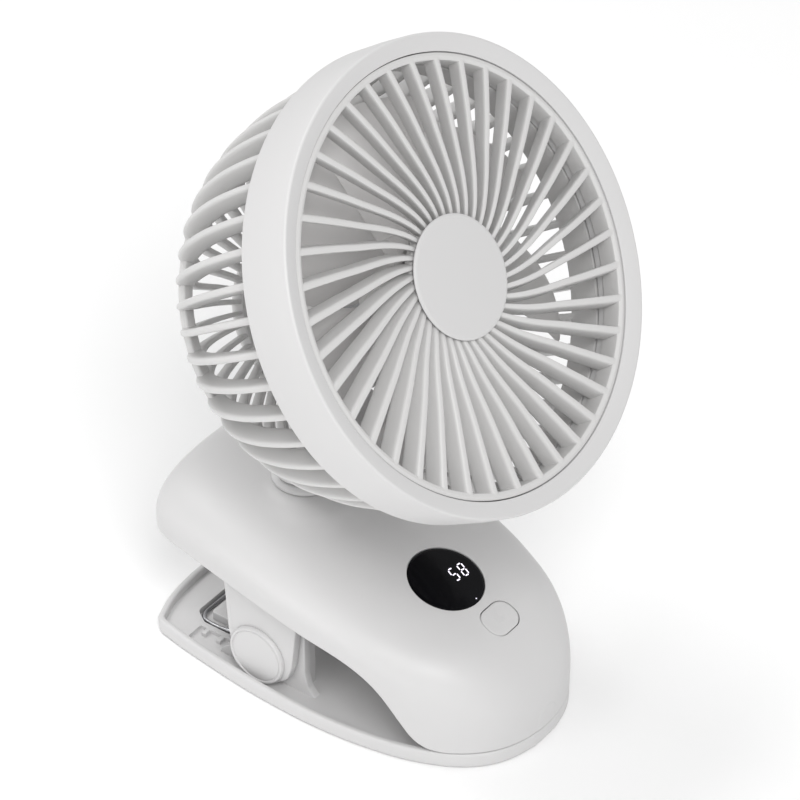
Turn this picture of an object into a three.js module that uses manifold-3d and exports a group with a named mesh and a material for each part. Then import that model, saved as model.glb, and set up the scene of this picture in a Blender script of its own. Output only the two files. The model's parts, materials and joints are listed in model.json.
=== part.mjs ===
// Rechargeable clip fan: round caged head on a tilting and turning neck, a mouse-shaped upper body
// with display and button, and a sprung lower jaw. Millimetres, +Z up, the fan faces -Y.
import * as THREE from "three";
import { mergeVertices } from "three/addons/utils/BufferGeometryUtils.js";
import Module from "manifold-3d";

const wasm = await Module();
wasm.setup();
const DEG = Math.PI / 180;

// ---------------------------------------------------------------- driving sizes
const HEAD = {
  centre: [0, -38.2, 173.75], // middle of the front rim
  tilt: 32.26, // fan axis above the horizon, degrees
  rimR: 76,
  bandDepth: 20.6,
  seamR: 70.1,
  openingR: 67.4,
  capR: 19.9,
  frontRibs: 40,
  rearRibs: 44,
};
const FAN = { blades: 7, hubR: 17.5, tipR: 59.5, mid: 30, bladeT: 1.7 };
const MOTOR = { r: 19, front: 34.6, back: 53.6, plateR: 29, screwR: 25.3, shaftR: 1.6 };
const NECK = { y: 28.3, z: 63.5, r: 12, axle: [28, 75.3], cheekR: 8.5 };
const JAW = { rimZ: 6.2, wall: 2.3, floor: 1.8, shelf: 4.4 };
const PIVOT = { y: 21.5, z: 13.5, pinR: 2.25, earR: 11.2, capR: 10.6 };
const BODY = { wall: 2.2 };
const SCREEN = { at: [0, -29.5, 47.75], slope: 16.9, r: 13.1 };
const KEY = { at: [0, -51.6, 40.55], slope: 22.5, half: [8, 5] };
const GAP = 0.3;

// half width of the jaw along y, rear end first
const JAW_PLAN = [
  [72.2, 9], [71.6, 18], [70.2, 26.5], [68, 31.4], [65, 34.2], [60, 36.2], [53, 37.7], [39, 39.6],
  [24, 41.3], [8, 42.2], [-8, 42.1], [-20, 41.1], [-30, 39.5], [-38, 37.7], [-47, 34.6],
  [-55, 30.6], [-61.5, 25.6], [-66, 20], [-69, 13.6], [-70.7, 6.5],
];
// y, half width, top height, height of the widest line, roundness exponent of the upper body
const BODY_STATIONS = [
  [70.6, 20, 57, 50, 2.3], [70, 25.5, 60, 49.5, 2.4], [68.4, 30.2, 62.4, 48.5, 2.5],
  [65, 33.8, 64, 48, 2.6], [59, 36.4, 64.8, 47.6, 2.7], [50, 38.4, 64.6, 47.4, 2.8],
  [40, 40, 63.8, 46.6, 2.9], [29, 41.3, 62.3, 45.6, 3], [18, 42.2, 60.5, 44.4, 3],
  [8, 42.7, 58.6, 43, 3], [-2, 42.8, 56.1, 41, 3.1], [-12, 42.3, 53.2, 38.5, 3.2],
  [-21, 41.5, 50.3, 35.5, 3.3], [-29.5, 40.3, 47.7, 32, 3.4], [-38, 38.6, 45.1, 27, 3.5],
  [-45, 36.4, 43, 23, 3.6], [-51, 33.6, 40.7, 20, 3.6], [-56.5, 30.2, 37.6, 17.5, 3.4],
  [-61.5, 25.9, 33.4, 15, 3.1], [-65.5, 21, 28.6, 13, 2.9], [-68.4, 15.6, 23.4, 11.5, 2.7],
  [-70.2, 10, 18.6, 10.5, 2.5], [-71, 5, 14.5, 9.5, 2.4],
];
// lower side edge of the upper body, rear end first: y, z
const SKIRT = [
  [76, 45.4], [64, 45.2], [52, 45.2], [41, 44.7], [30, 43.7], [19, 42.2], [8, 40.4], [-2, 38.5],
  [-11, 36.8], [-18, 35], [-24, 32.5], [-29, 29.2], [-33, 25.2], [-36.5, 20.6], [-39.5, 16.2],
  [-42, 12.6], [-45, 9.6], [-49, 7.6], [-54, 7], [-80, 7],
];
// outer edge of a rear rib: radius, depth behind the front rim, thickness, blade depth, turn
const REAR_RIB = [
  [71.6, 22.6, 2.3, 3.6, -1.6], [70.4, 35, 2.4, 6.6, -0.4], [66.6, 53, 2.4, 6.8, 2.1],
  [60.8, 67.6, 2.3, 6.8, 4.5], [54.8, 76.4, 2.2, 6.2, 6.6], [45, 83, 2, 5, 9.4],
  [23.6, 84.5, 1.5, 4.2, 16.6],
];
// centre line of a front rib: radius, clockwise turn, front depth, rear depth, width
const FRONT_RIB = [
  [68.6, 0, 2.3, 9, 2.3], [55, 2.6, 2.4, 8.8, 2.15], [42, 6.3, 3, 8.9, 1.95],
  [31, 12, 3.9, 9.3, 1.75], [22.4, 18, 5, 9.8, 1.5], [18, 21.7, 6.2, 10.2, 1.4],
];

// ---------------------------------------------------------------- geometry helpers
const clean = (geometry) => {
  const g = geometry.clone();
  g.deleteAttribute("normal");
  g.deleteAttribute("uv");
  return mergeVertices(g, 1e-4);
};

// closed geometry -> solid
function solid(geometry) {
  const g = clean(geometry);
  const src = g.index.array;
  const tri = [];
  for (let i = 0; i < src.length; i += 3) {
    const [a, b, c] = [src[i], src[i + 1], src[i + 2]];
    if (a !== b && b !== c && a !== c) tri.push(a, b, c);
  }
  const pos = g.attributes.position.array;
  const make = (t) =>
    new wasm.Manifold(
      new wasm.Mesh({ numProp: 3, vertProperties: new Float32Array(pos), triVerts: new Uint32Array(t) }),
    );
  const m = make(tri);
  if (m.volume() >= 0) return m;
  for (let i = 0; i < tri.length; i += 3) [tri[i + 1], tri[i + 2]] = [tri[i + 2], tri[i + 1]];
  return make(tri);
}

function toGeometry(manifold) {
  const m = manifold.getMesh();
  const out = new Float32Array(m.numVert * 3);
  for (let i = 0; i < m.numVert; i++)
    out.set(m.vertProperties.subarray(i * m.numProp, i * m.numProp + 3), i * 3);
  const g = new THREE.BufferGeometry();
  g.setAttribute("position", new THREE.BufferAttribute(out, 3));
  g.setIndex(new THREE.BufferAttribute(new Uint32Array(m.triVerts), 1));
  g.computeVertexNormals();
  return g;
}

// skin through equal rings of points, closed by a fan at each end
function loft(rings) {
  const n = rings[0].length;
  const pos = [];
  const idx = [];
  rings.forEach((r) => r.forEach((p) => pos.push(p[0], p[1], p[2])));
  for (let i = 0; i + 1 < rings.length; i++)
    for (let j = 0; j < n; j++) {
      const a = i * n + j;
      const b = i * n + ((j + 1) % n);
      idx.push(a, a + n, b, b, a + n, b + n);
    }
  [0, rings.length - 1].forEach((k) => {
    const r = rings[k];
    const c = [0, 1, 2].map((q) => r.reduce((s, p) => s + p[q], 0) / n);
    const ci = pos.length / 3;
    pos.push(...c);
    for (let j = 0; j < n; j++) {
      const a = k * n + j;
      const b = k * n + ((j + 1) % n);
      if (k === 0) idx.push(ci, a, b);
      else idx.push(ci, b, a);
    }
  });
  const g = new THREE.BufferGeometry();
  g.setAttribute("position", new THREE.Float32BufferAttribute(pos, 3));
  g.setIndex(idx);
  return solid(g);
}

// turned solid about Z from [radius, z] points
function turned(profile, seg = 48) {
  const pts = profile.map(([r, z]) => new THREE.Vector2(Math.max(r, 0), z));
  const onAxis = profile[0][0] === 0 && profile[profile.length - 1][0] === 0;
  if (!onAxis) pts.push(pts[0].clone());
  const g = new THREE.LatheGeometry(pts, seg);
  g.rotateX(Math.PI / 2);
  return solid(g);
}

const rod = (r, z0, z1, seg = 24) => turned([[0, z0], [r, z0], [r, z1], [0, z1]], seg);
const tube = (r0, r1, z0, z1, seg = 32) => turned([[r0, z0], [r1, z0], [r1, z1], [r0, z1]], seg);

function block(x0, x1, y0, y1, z0, z1) {
  const g = new THREE.BoxGeometry(x1 - x0, y1 - y0, z1 - z0);
  g.translate((x0 + x1) / 2, (y0 + y1) / 2, (z0 + z1) / 2);
  return solid(g);
}

// flat outline in the y-z plane, thick along x
function sidePlate(points, x0, x1) {
  const shape = new THREE.Shape(points.map(([y, z]) => new THREE.Vector2(y, z)));
  const g = new THREE.ExtrudeGeometry(shape, { depth: x1 - x0, bevelEnabled: false, curveSegments: 12 });
  g.applyMatrix4(new THREE.Matrix4().makeBasis(
    new THREE.Vector3(0, 1, 0), new THREE.Vector3(0, 0, 1), new THREE.Vector3(1, 0, 0)));
  g.translate(x0, 0, 0);
  return solid(g);
}

// flat outline in the x-y plane, thick along z
function topPlate(points, z0, z1) {
  const shape = new THREE.Shape(points.map(([x, y]) => new THREE.Vector2(x, y)));
  const g = new THREE.ExtrudeGeometry(shape, { depth: z1 - z0, bevelEnabled: false });
  g.translate(0, 0, z0);
  return solid(g);
}

const arc = (cy, cz, r, from, to, n = 12) =>
  Array.from({ length: n + 1 }, (_, i) => {
    const a = (from + ((to - from) * i) / n) * DEG;
    return [cy + r * Math.cos(a), cz + r * Math.sin(a)];
  });

const stadium = (hx, hy, n = 8) => {
  const c = hx - hy;
  return [
    ...arc(c, 0, hy, -90, 90, n),
    ...arc(-c, 0, hy, 90, 270, n),
  ];
};

// round wire along a list of points, with frames carried along the path
function wire(points, r, sides = 7) {
  const v = points.map((p) => new THREE.Vector3(...p));
  const tan = v.map((p, i) =>
    v[Math.min(i + 1, v.length - 1)].clone().sub(v[Math.max(i - 1, 0)]).normalize());
  let side = new THREE.Vector3(1, 0, 0);
  if (Math.abs(tan[0].x) > 0.9) side = new THREE.Vector3(0, 0, 1);
  const rings = v.map((p, i) => {
    side = side.clone().sub(tan[i].clone().multiplyScalar(side.dot(tan[i]))).normalize();
    const up = tan[i].clone().cross(side);
    return Array.from({ length: sides }, (_, k) => {
      const a = (2 * Math.PI * k) / sides;
      return p.clone().addScaledVector(side, r * Math.cos(a)).addScaledVector(up, r * Math.sin(a)).toArray();
    });
  });
  return loft(rings);
}

const union = (list) => wasm.Manifold.union(list);
const moved = (m, x, y, z) => m.translate([x, y, z]);
const alongX = (m) => m.rotate([0, 90, 0]);

// value of a table at t, by straight steps smoothed with a monotone cubic
function table(rows, col, t) {
  const s = rows[0][0] > rows[rows.length - 1][0] ? [...rows].reverse() : rows;
  if (t <= s[0][0]) return s[0][col];
  if (t >= s[s.length - 1][0]) return s[s.length - 1][col];
  let i = 0;
  while (s[i + 1][0] < t) i++;
  const slope = (k) => (s[k + 1][col] - s[k][col]) / (s[k + 1][0] - s[k][0]);
  const knot = (k) => {
    if (k === 0) return slope(0);
    if (k === s.length - 1) return slope(k - 1);
    const [a, b] = [slope(k - 1), slope(k)];
    return a * b <= 0 ? 0 : (2 * a * b) / (a + b);
  };
  const h = s[i + 1][0] - s[i][0];
  const u = (t - s[i][0]) / h;
  const [p0, p1, m0, m1] = [s[i][col], s[i + 1][col], knot(i) * h, knot(i + 1) * h];
  return (2 * u ** 3 - 3 * u ** 2 + 1) * p0 + (u ** 3 - 2 * u ** 2 + u) * m0 +
    (-2 * u ** 3 + 3 * u ** 2) * p1 + (u ** 3 - u ** 2) * m1;
}

// ---------------------------------------------------------------- scene graph
const root = new THREE.Group();
root.name = "clip_fan";
const group = (name, parent = root) => {
  const g = new THREE.Group();
  g.name = name;
  parent.add(g);
  return g;
};
const jawGroup = group("jaw");
const bodyGroup = group("body");
const neckGroup = group("neck");
const headGroup = group("head");
const rotorGroup = group("rotor", headGroup);

// head frame: x stays, y is up along the rim, z runs out of the front
const axis = new THREE.Vector3(0, -Math.cos(HEAD.tilt * DEG), Math.sin(HEAD.tilt * DEG));
const rise = new THREE.Vector3(0, Math.sin(HEAD.tilt * DEG), Math.cos(HEAD.tilt * DEG));
const headMatrix = new THREE.Matrix4().makeBasis(new THREE.Vector3(1, 0, 0), rise, axis);
headMatrix.setPosition(...HEAD.centre);
headMatrix.decompose(headGroup.position, headGroup.quaternion, headGroup.scale);
// solid given in world coordinates -> head coordinates
const intoHead = (m) => m.transform(headMatrix.clone().invert().elements);

const surfaceFrame = ({ at, slope }) => {
  const s = slope * DEG;
  const m = new THREE.Matrix4().makeBasis(
    new THREE.Vector3(1, 0, 0),
    new THREE.Vector3(0, Math.cos(s), Math.sin(s)),
    new THREE.Vector3(0, -Math.sin(s), Math.cos(s)),
  );
  return m.setPosition(...at);
};
const screenMatrix = surfaceFrame(SCREEN);
const keyMatrix = surfaceFrame(KEY);
const onScreen = (m) => m.transform(screenMatrix.elements);
const onKey = (m) => m.transform(keyMatrix.elements);
function placed(parent, matrix, name) {
  const g = group(name, parent);
  matrix.decompose(g.position, g.quaternion, g.scale);
  return g;
}
const screenGroup = placed(bodyGroup, screenMatrix, "screen_frame");
const keyGroup = placed(bodyGroup, keyMatrix, "key_frame");

const COLOURS = {
  white: [0xe9e9ea, 0.42, 0], offWhite: [0xdededf, 0.5, 0], steel: [0xa8aaad, 0.3, 0.9],
  dark: [0x3a3b3e, 0.35, 0.7], black: [0x101012, 0.12, 0], rubber: [0x1b1b1c, 0.85, 0],
  brass: [0xa8894f, 0.35, 0.9], board: [0x1e5a3a, 0.6, 0], foil: [0x9fa6ad, 0.4, 0.5],
  screw: [0x77736c, 0.35, 0.9],
};
const SLIVER = { rear_cage: 0.09, front_grille: 0.06, upper_shell: 0.06, base_cover: 0.05 };
function add(parent, name, manifold, colour) {
  const [color, roughness, metalness] = COLOURS[colour];
  const mesh = new THREE.Mesh(
    toGeometry(manifold.simplify(SLIVER[name] ?? 0.025)),
    new THREE.MeshStandardMaterial({ color, roughness, metalness }),
  );
  mesh.name = name;
  parent.add(mesh);
  return mesh;
}

// countersunk or pan screw along +z, head at z = 0 reaching up, shank down
function screw(headR, headH, shankR, length) {
  const body = turned([[0, -length], [shankR, -length + 1], [shankR, 0], [headR, 0],
    [headR * 0.72, headH], [0, headH]], 8);
  const slot = union([
    block(-headR * 0.5, headR * 0.5, -0.3, 0.3, headH - 0.7, headH + 1),
    block(-0.3, 0.3, -headR * 0.5, headR * 0.5, headH - 0.7, headH + 1),
  ]);
  return body.subtract(slot);
}

// ---------------------------------------------------------------- head: front ring and spiral grille
const rimProfile = [
  [75.5, -HEAD.bandDepth], [76, -9], [76, -0.9], [75.3, 0], [HEAD.seamR + 0.1, -1.9],
  [HEAD.seamR, -2.2], [HEAD.seamR, -9.9], [67.9, -9.9], [67.9, -12.2], [73.5, -12.6],
  [73.5, -HEAD.bandDepth],
];
add(headGroup, "front_bezel", turned(rimProfile, 60), "white");

function frontRib(index) {
  const start = 6.73 + (index * 360) / HEAD.frontRibs;
  const rings = FRONT_RIB.map(([r, turn, front, rear, w], i) => {
    const a = (start + turn) * DEG;
    const next = FRONT_RIB[Math.min(i + 1, FRONT_RIB.length - 1)];
    const prev = FRONT_RIB[Math.max(i - 1, 0)];
    // across direction: normal of the path in the plane of the grille
    const at = (row) => [row[0] * Math.sin((start + row[1]) * DEG), row[0] * Math.cos((start + row[1]) * DEG)];
    const [p, q] = [at(prev), at(next)];
    const len = Math.hypot(q[0] - p[0], q[1] - p[1]);
    const n = [-(q[1] - p[1]) / len, (q[0] - p[0]) / len];
    const c = [r * Math.sin(a), r * Math.cos(a)];
    const h = w / 2;
    const lean = 1.3; // the rear edge trails the front edge
    const pt = (s, z, l = 0) => [c[0] + n[0] * (s + l), c[1] + n[1] * (s + l), -z];
    return [pt(-h * 0.85, front), pt(-h * 0.8, rear, lean), pt(h * 0.8, rear, lean), pt(h * 0.85, front)];
  });
  return loft(rings);
}
const grilleRing = turned([[HEAD.openingR, -2.6], [68.6, -2.1], [69.8, -2.4],
  [69.8, -9.6], [HEAD.openingR, -9.6]], 40).rotate([0, 0, -6.73]);
const grilleHub = rod(18.7, -10.6, -7.2, 20);
let grille = union([grilleRing, grilleHub,
  ...Array.from({ length: HEAD.frontRibs }, (_, i) => frontRib(i))]);
grille = grille.subtract(rod(3.2, -14, 2, 16));
add(headGroup, "front_grille", grille, "white");

const capBody = turned([[0, -11.4], [2.2, -11.4], [2.9, -10.9], [2.7, -5.5], [HEAD.capR - 0.8, -5.5],
  [HEAD.capR, -5.1], [HEAD.capR, -4.7], [HEAD.capR - 0.7, -4.3], [0, -4.1]], 36);
add(headGroup, "grille_cap", capBody, "white");

// ---------------------------------------------------------------- head: rear cage
function rearRib(index) {
  const start = (index * 360) / HEAD.rearRibs;
  const rings = REAR_RIB.map(([r, d, w, depth, turn], i) => {
    const next = REAR_RIB[Math.min(i + 1, REAR_RIB.length - 1)];
    const prev = REAR_RIB[Math.max(i - 1, 0)];
    const [dr, dd] = [next[0] - prev[0], next[1] - prev[1]];
    const len = Math.hypot(dr, dd);
    const inward = [-dd / len, dr / len]; // radius, depth: into the cage
    const a = (start + turn) * DEG;
    const pt = (s, t) => {
      const rr = r + inward[0] * t;
      const z = -(d + inward[1] * t);
      return [rr * Math.sin(a) + s * Math.cos(a), rr * Math.cos(a) - s * Math.sin(a), z];
    };
    const h = w / 2;
    return [pt(-h * 0.8, 0), pt(-h * 0.9, depth), pt(h * 0.9, depth), pt(h * 0.8, 0)];
  });
  return loft(rings);
}
const cageRing = turned([[67.6, -13], [73.1, -13], [73.1, -20.2], [70.9, -20.9], [70.6, -24.6],
  [67.6, -24.6]], 44).rotate([0, 0, 1.2]);
const cageHoop = turned([[50, -76.2], [53, -76.2], [51, -78.6]], 44)
  .rotate([0, 0, -6.6]);
const rearHub = turned([[0, -83.6], [18.4, -83.6], [20.4, -80], [24.6, -80], [24.6, -85.2],
  [23.4, -86], [0, -86]], 22).rotate([0, 0, -17.3]);
const mountAngles = [-118, 1.5, 121];
const around = (m, r, deg) => moved(m, r * Math.sin(deg * DEG), r * Math.cos(deg * DEG), 0);
const mountPosts = mountAngles.map((a) => around(rod(3.3, -83, -57.2, 10), MOTOR.screwR, a));

// chin: joint cheeks and the web that carries the cage, in world coordinates
const [axleY, axleZ] = NECK.axle;
const chinOutline = [
  ...arc(axleY, axleZ, NECK.cheekR, 0, -118, 12),
  [-2, 79.2], [-17, 86], [-20, 96], [6, 104], [14.5, 99.5], [30, 86], [axleY + 8, axleZ + 3.5],
];
const innerClear = turned([[0, 5], [66.6, 5], [66.6, -27], [63.6, -42], [60, -54], [54, -68],
  [47.5, -76], [43, -78.6], [0, -79.4]], 64);
let chin = sidePlate(chinOutline, -11.5, 11.5);
const chinSlot = sidePlate([
  ...arc(axleY, axleZ, 9.4, -90, 90, 12), [axleY - 11, axleZ + 9.4], [axleY - 11, axleZ - 9.4]], -5, 5);
chin = chin.subtract(chinSlot).subtract(moved(alongX(rod(2.8, -20, 20)), 0, axleY, axleZ));
const headChin = intoHead(chin).subtract(innerClear);
const rearCage = union([
  cageRing, cageHoop, rearHub, ...mountPosts, headChin,
  ...Array.from({ length: HEAD.rearRibs }, (_, i) => rearRib(i)),
]);
const chinBores = intoHead(union([
  moved(alongX(rod(2.8, -20, 20)), 0, axleY, axleZ), chinSlot]));
const postBores = union(mountAngles.map((a) => around(rod(1.35, -72, -50, 8), MOTOR.screwR, a)));
add(headGroup, "rear_cage", rearCage.subtract(chinBores).subtract(postBores), "white");

// ---------------------------------------------------------------- head: motor
let motorPlate = tube(4.6, MOTOR.plateR, -56.9, -54.2, 40);
motorPlate = motorPlate.subtract(
  union(mountAngles.map((a) => around(rod(1.7, -60, -50, 8), MOTOR.screwR, a))));
add(headGroup, "motor_plate", motorPlate, "white");
const canProfile = [
  [2, -53.6], [MOTOR.r - 0.8, -53.6], [MOTOR.r, -52.8], [MOTOR.r, -41.4], [MOTOR.r - 2, -39.6],
  [12.4, -34.2], [11.6, -24.6], [5, -24], [5, -26.6], [2, -26.6],
];
add(headGroup, "motor_can", turned(canProfile, 26), "steel");
add(headGroup, "motor_bearing", tube(2, 4.7, -26.3, -23.4, 20), "brass");
add(headGroup, "motor_end_cap", turned([[0, -58.4], [4.2, -58.4], [4.2, -57.2], [4.2, -53.9], [2.2, -53.9],
  [2.2, -56.8], [0, -56.8]], 20), "dark");
mountAngles.forEach((a, i) => {
  const s = moved(screw(2.9, 1.7, 1.05, 9), 0, 0, -53.9);
  add(headGroup, "motor_screw_" + (i + 1), around(s, MOTOR.screwR, a), "screw");
});

// ---------------------------------------------------------------- rotor: shaft, impeller, spinner
add(rotorGroup, "motor_shaft", rod(MOTOR.shaftR, -53, -17, 16), "steel");
function blade(index) {
  const stations = 6;
  const rings = [];
  for (let i = 0; i < stations; i++) {
    const u = i / (stations - 1);
    const r = 15.8 + (FAN.tipR - 15.8) * u;
    const chord = 19 + 29 * Math.sin(u * 1.7);
    const pitch = (43 - 17 * u) * DEG;
    const sweep = (index * 360) / FAN.blades + 15 * u * u;
    const th = FAN.bladeT * (1 - 0.35 * u);
    const pts = [-0.5, -0.25, 0.02, 0.27, 0.5];
    const line = (s) => {
      const camber = 0.09 * chord * (1 - 4 * s * s);
      const t = s * chord;
      return [t * Math.cos(pitch) - camber * Math.sin(pitch), t * Math.sin(pitch) + camber * Math.cos(pitch)];
    };
    const at = (s, off) => {
      const [p, z] = line(s);
      const tangent = p - off * Math.sin(pitch);
      const ang = sweep * DEG + tangent / r;
      return [r * Math.sin(ang), r * Math.cos(ang), -FAN.mid + z + off * Math.cos(pitch)];
    };
    const half = (s) => th * 0.5 * (Math.abs(s) > 0.45 ? 0.35 : 1);
    rings.push([...pts.map((s) => at(s, half(s))), ...[...pts].reverse().map((s) => at(s, -half(s)))]);
  }
  return loft(rings);
}
const hubCup = turned([[0, -15.2], [FAN.hubR - 1.5, -15.2], [FAN.hubR, -16.6], [FAN.hubR, -33.8],
  [FAN.hubR - 2.4, -33.8], [FAN.hubR - 2.6, -18.2], [4.6, -18.2], [4.6, -22.6], [0, -22.6]], 30);
const impeller = union([hubCup,
  ...Array.from({ length: FAN.blades }, (_, i) => blade(i).subtract(rod(FAN.hubR - 1.2, -70, 0, 30)))])
  .subtract(rod(MOTOR.shaftR + GAP, -60, -16.6, 16));
add(rotorGroup, "impeller", impeller, "white");
add(rotorGroup, "spinner", turned([[0, -14.9], [15, -14.9], [15.2, -14.2], [13.4, -12.6],
  [0, -11.7]], 32), "dark");

// ---------------------------------------------------------------- neck
const neckDisc = turned([[0, NECK.z + 0.3], [NECK.r - 0.4, NECK.z + 0.3], [NECK.r - 0.3, NECK.z + 1.4],
  [NECK.r - 1.6, NECK.z + 2.6], [0, NECK.z + 2.9]], 36);
const neckStem = rod(7.2, 58.4, NECK.z + 1, 24);
let tongue = sidePlate([...arc(axleY, axleZ, 7.2, -8, 188, 14), [axleY - 7, NECK.z + 1.5],
  [axleY + 7, NECK.z + 1.5]], -3.9, 3.9);
tongue = tongue.subtract(moved(alongX(rod(2.8, -20, 20)), 0, axleY, axleZ));
const neckLower = moved(union([neckDisc, neckStem]), 0, NECK.y, 0);
const neckHole = moved(rod(1.5, 50, 65.2, 8), 0, NECK.y, 0);
add(neckGroup, "neck_knuckle", union([neckLower, tongue]).subtract(neckHole), "white");
add(neckGroup, "swivel_retainer", moved(tube(1.9, 10.8, 55.9, 58.1, 24), 0, NECK.y, 0), "offWhite");
const swivelScrew = screw(3, 1.5, 1.2, 8).rotate([180, 0, 0]);
add(neckGroup, "swivel_screw", moved(swivelScrew, 0, NECK.y, 55.6), "screw");
const axle = union([rod(2.5, -11.2, 9.4, 20), rod(4.2, 11.9, 13.1, 20), rod(2.5, 9, 12.2, 20)]);
add(headGroup, "tilt_axle", intoHead(moved(alongX(axle), 0, axleY, axleZ)), "steel");
[-1, 1].forEach((s) => {
  const washer = moved(alongX(tube(2.8, 6.2, -0.25, 0.25, 16)), s * 4.45, axleY, axleZ);
  add(neckGroup, s < 0 ? "tilt_washer_left" : "tilt_washer_right", washer, "brass");
});

// ---------------------------------------------------------------- upper body skin
const ARC_POINTS = 18;
function bodyRing([y, w, top, widest, n], shrink, low, count) {
  const W = Math.max(w - shrink, 1);
  const T = Math.max(top - shrink, widest - 1);
  const pts = [];
  for (let k = 0; k <= count; k++) {
    const a = (Math.PI * k) / count;
    const [c, s] = [Math.cos(a), Math.sin(a)];
    pts.push([Math.sign(c) * W * Math.abs(c) ** (2 / n), y,
      widest + (T - widest) * Math.abs(s) ** (2 / n)]);
  }
  const tuck = Math.min(0.035 * (widest - low), 1.6);
  pts.push([-(W - tuck), y, low], [W - tuck, y, low]);
  return pts;
}
function bodySkin(shrink, low, endShrink, count = ARC_POINTS, skip = 1) {
  const scale = (y) => (y > 0 ? y * (1 - endShrink / 70.6) : y * (1 - endShrink / 71));
  const rows = BODY_STATIONS.filter((_, i) => i % skip === 0 || i < 4 || i > 17);
  return loft(rows.map((row) => {
    const r = [...row];
    r[0] = scale(r[0]);
    return bodyRing(r, shrink, low, count);
  }));
}
const outerSkin = bodySkin(0, 3, 0);
const innerSkin = bodySkin(BODY.wall, 1, BODY.wall, 12, 2);
const coverSkin = bodySkin(BODY.wall + GAP + 0.2, 0, BODY.wall + GAP + 0.2, 10, 2);

const skirtZ = (y) => table(SKIRT, 1, y);
const skirtLine = (up) => {
  const line = [];
  const steps = [76, 52, 36, 19, 5, -8, -17, -23, -27.5, -31.2, -34.6, -38,
    -41.2, -44.6, -48.5, -54, -80];
  for (const y of steps) {
    const z = skirtZ(y);
    const g = (skirtZ(y + 0.2) - skirtZ(y - 0.2)) / 0.4;
    const k = 1 / Math.hypot(1, g);
    line.push([y - g * k * up, z + k * up]);
  }
  return line;
};
const below = sidePlate([...skirtLine(0), [-80, -20], [76, -20]], -60, 60);

const pedestal = moved(turned([[0, 52], [24, 58.4], [19.5, 60.9], [16, 62.1], [13.6, 63], [12.2, NECK.z],
  [0, NECK.z]], 36), 0, NECK.y, 0);
const stationTop = (y) => table(BODY_STATIONS, 2, y);
const postAt = [[-28, 54], [28, 54], [-30, -10], [30, -10]];
const coverTop = (y) => skirtZ(y) + 2.5;
function shellPosts() {
  return union(postAt.map(([x, y]) => moved(rod(3, coverTop(y) + 0.4, stationTop(y) - 1, 8), x, y, 0)));
}
const boardPosts = onScreen(union([[-17, 16], [17, 16]].map(([x, y]) =>
  moved(rod(2.4, -7.6, 2, 8), x, y, 0))));
let shell = union([outerSkin, pedestal]).subtract(innerSkin);
shell = union([shell, shellPosts().intersect(outerSkin), boardPosts.intersect(innerSkin),
  onScreen(tube(11.7, 15.6, -4.6, -1.9, 28)), moved(tube(7.5, 13, 58.6, 62, 24), 0, NECK.y, 0)]);
shell = shell.subtract(union([
  below,
  onScreen(rod(SCREEN.r + 0.3, -1.95, 12, 40)),
  onScreen(rod(11.7, -8, 12, 28)),
  moved(rod(7.5, 50, 80, 24), 0, NECK.y, 0),
  onKey(topPlate(stadium(KEY.half[0] + 0.3, KEY.half[1] + 0.3), -6, 12)),
  onKey(topPlate(stadium(KEY.half[0] + 1.6, KEY.half[1] + 1.4), -9, -2.5)),
  ...postAt.map(([x, y]) => moved(rod(1.15, 30, stationTop(y) - 4, 6), x, y, 0)),
  moved(alongPort(4.95, 1.95, 60, 80), 0, 0, 57.2),
]));
add(bodyGroup, "upper_shell", shell, "white");

// stadium bar along y, used for the charging opening and its socket
function alongPort(hx, hz, y0, y1) {
  const m = topPlate(stadium(hx, hz, 6), 0, y1 - y0).rotate([90, 0, 0]);
  return moved(m, 0, y1, 0);
}

// ---------------------------------------------------------------- base cover with hinge ears
const coverBand = sidePlate([...skirtLine(0), ...skirtLine(2.2).reverse()], -60, 60);
let cover = coverBand.intersect(coverSkin);
const earOutline = [
  ...arc(PIVOT.y, PIVOT.z, PIVOT.earR, 200, 340, 14),
  [PIVOT.y + 12.6, 18.5], [PIVOT.y + 13.6, 34], [PIVOT.y + 15, skirtZ(PIVOT.y + 15) + 1.6],
  [PIVOT.y - 16.5, skirtZ(PIVOT.y - 16.5) + 1.4], [PIVOT.y - 14.2, 34], [PIVOT.y - 12.6, 18.5],
];
const ears = [-1, 1].map((s) => sidePlate(earOutline, s < 0 ? -35.6 : 32.4, s < 0 ? -32.4 : 35.6));
const earStays = [-1, 1].map((s) => {
  const stay = sidePlate([[PIVOT.y + 1, 30], [PIVOT.y + 1.8, skirtZ(PIVOT.y) + 1.5],
    [PIVOT.y - 1.8, skirtZ(PIVOT.y) + 1], [PIVOT.y - 1, 30]], s < 0 ? -33 : 27, s < 0 ? -27 : 33);
  return stay;
});
const packRails = [-15, 15].map((x) => block(x - 1, x + 1, 12, 56, 42, 48.1));
cover = union([cover, ...ears, ...earStays, ...packRails]).subtract(union([
  moved(alongX(rod(PIVOT.pinR + 0.35, -50, 50, 24)), 0, PIVOT.y, PIVOT.z),
  ...postAt.map(([x, y]) => moved(union([rod(1.5, 20, 70, 12), rod(3, 20, skirtZ(y) + 1.2, 16)]), x, y, 0)),
]));
add(bodyGroup, "base_cover", cover, "white");
postAt.forEach(([x, y], i) => {
  const s = moved(screw(2.5, 1.2, 0.8, 8).rotate([180, 0, 0]), x, y, skirtZ(y) + 1);
  add(bodyGroup, "cover_screw_" + (i + 1), s, "screw");
});
[-1, 1].forEach((s) => {
  const cap = turned([[0, 0], [PIVOT.capR, 0], [PIVOT.capR, 0.8], [PIVOT.capR - 0.7, 1.3], [0, 1.5]], 32);
  const side = s < 0 ? cap.rotate([0, -90, 0]) : cap.rotate([0, 90, 0]);
  add(bodyGroup, s < 0 ? "pivot_cap_left" : "pivot_cap_right",
    moved(side, s * 35.9, PIVOT.y, PIVOT.z), "white");
});

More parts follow.
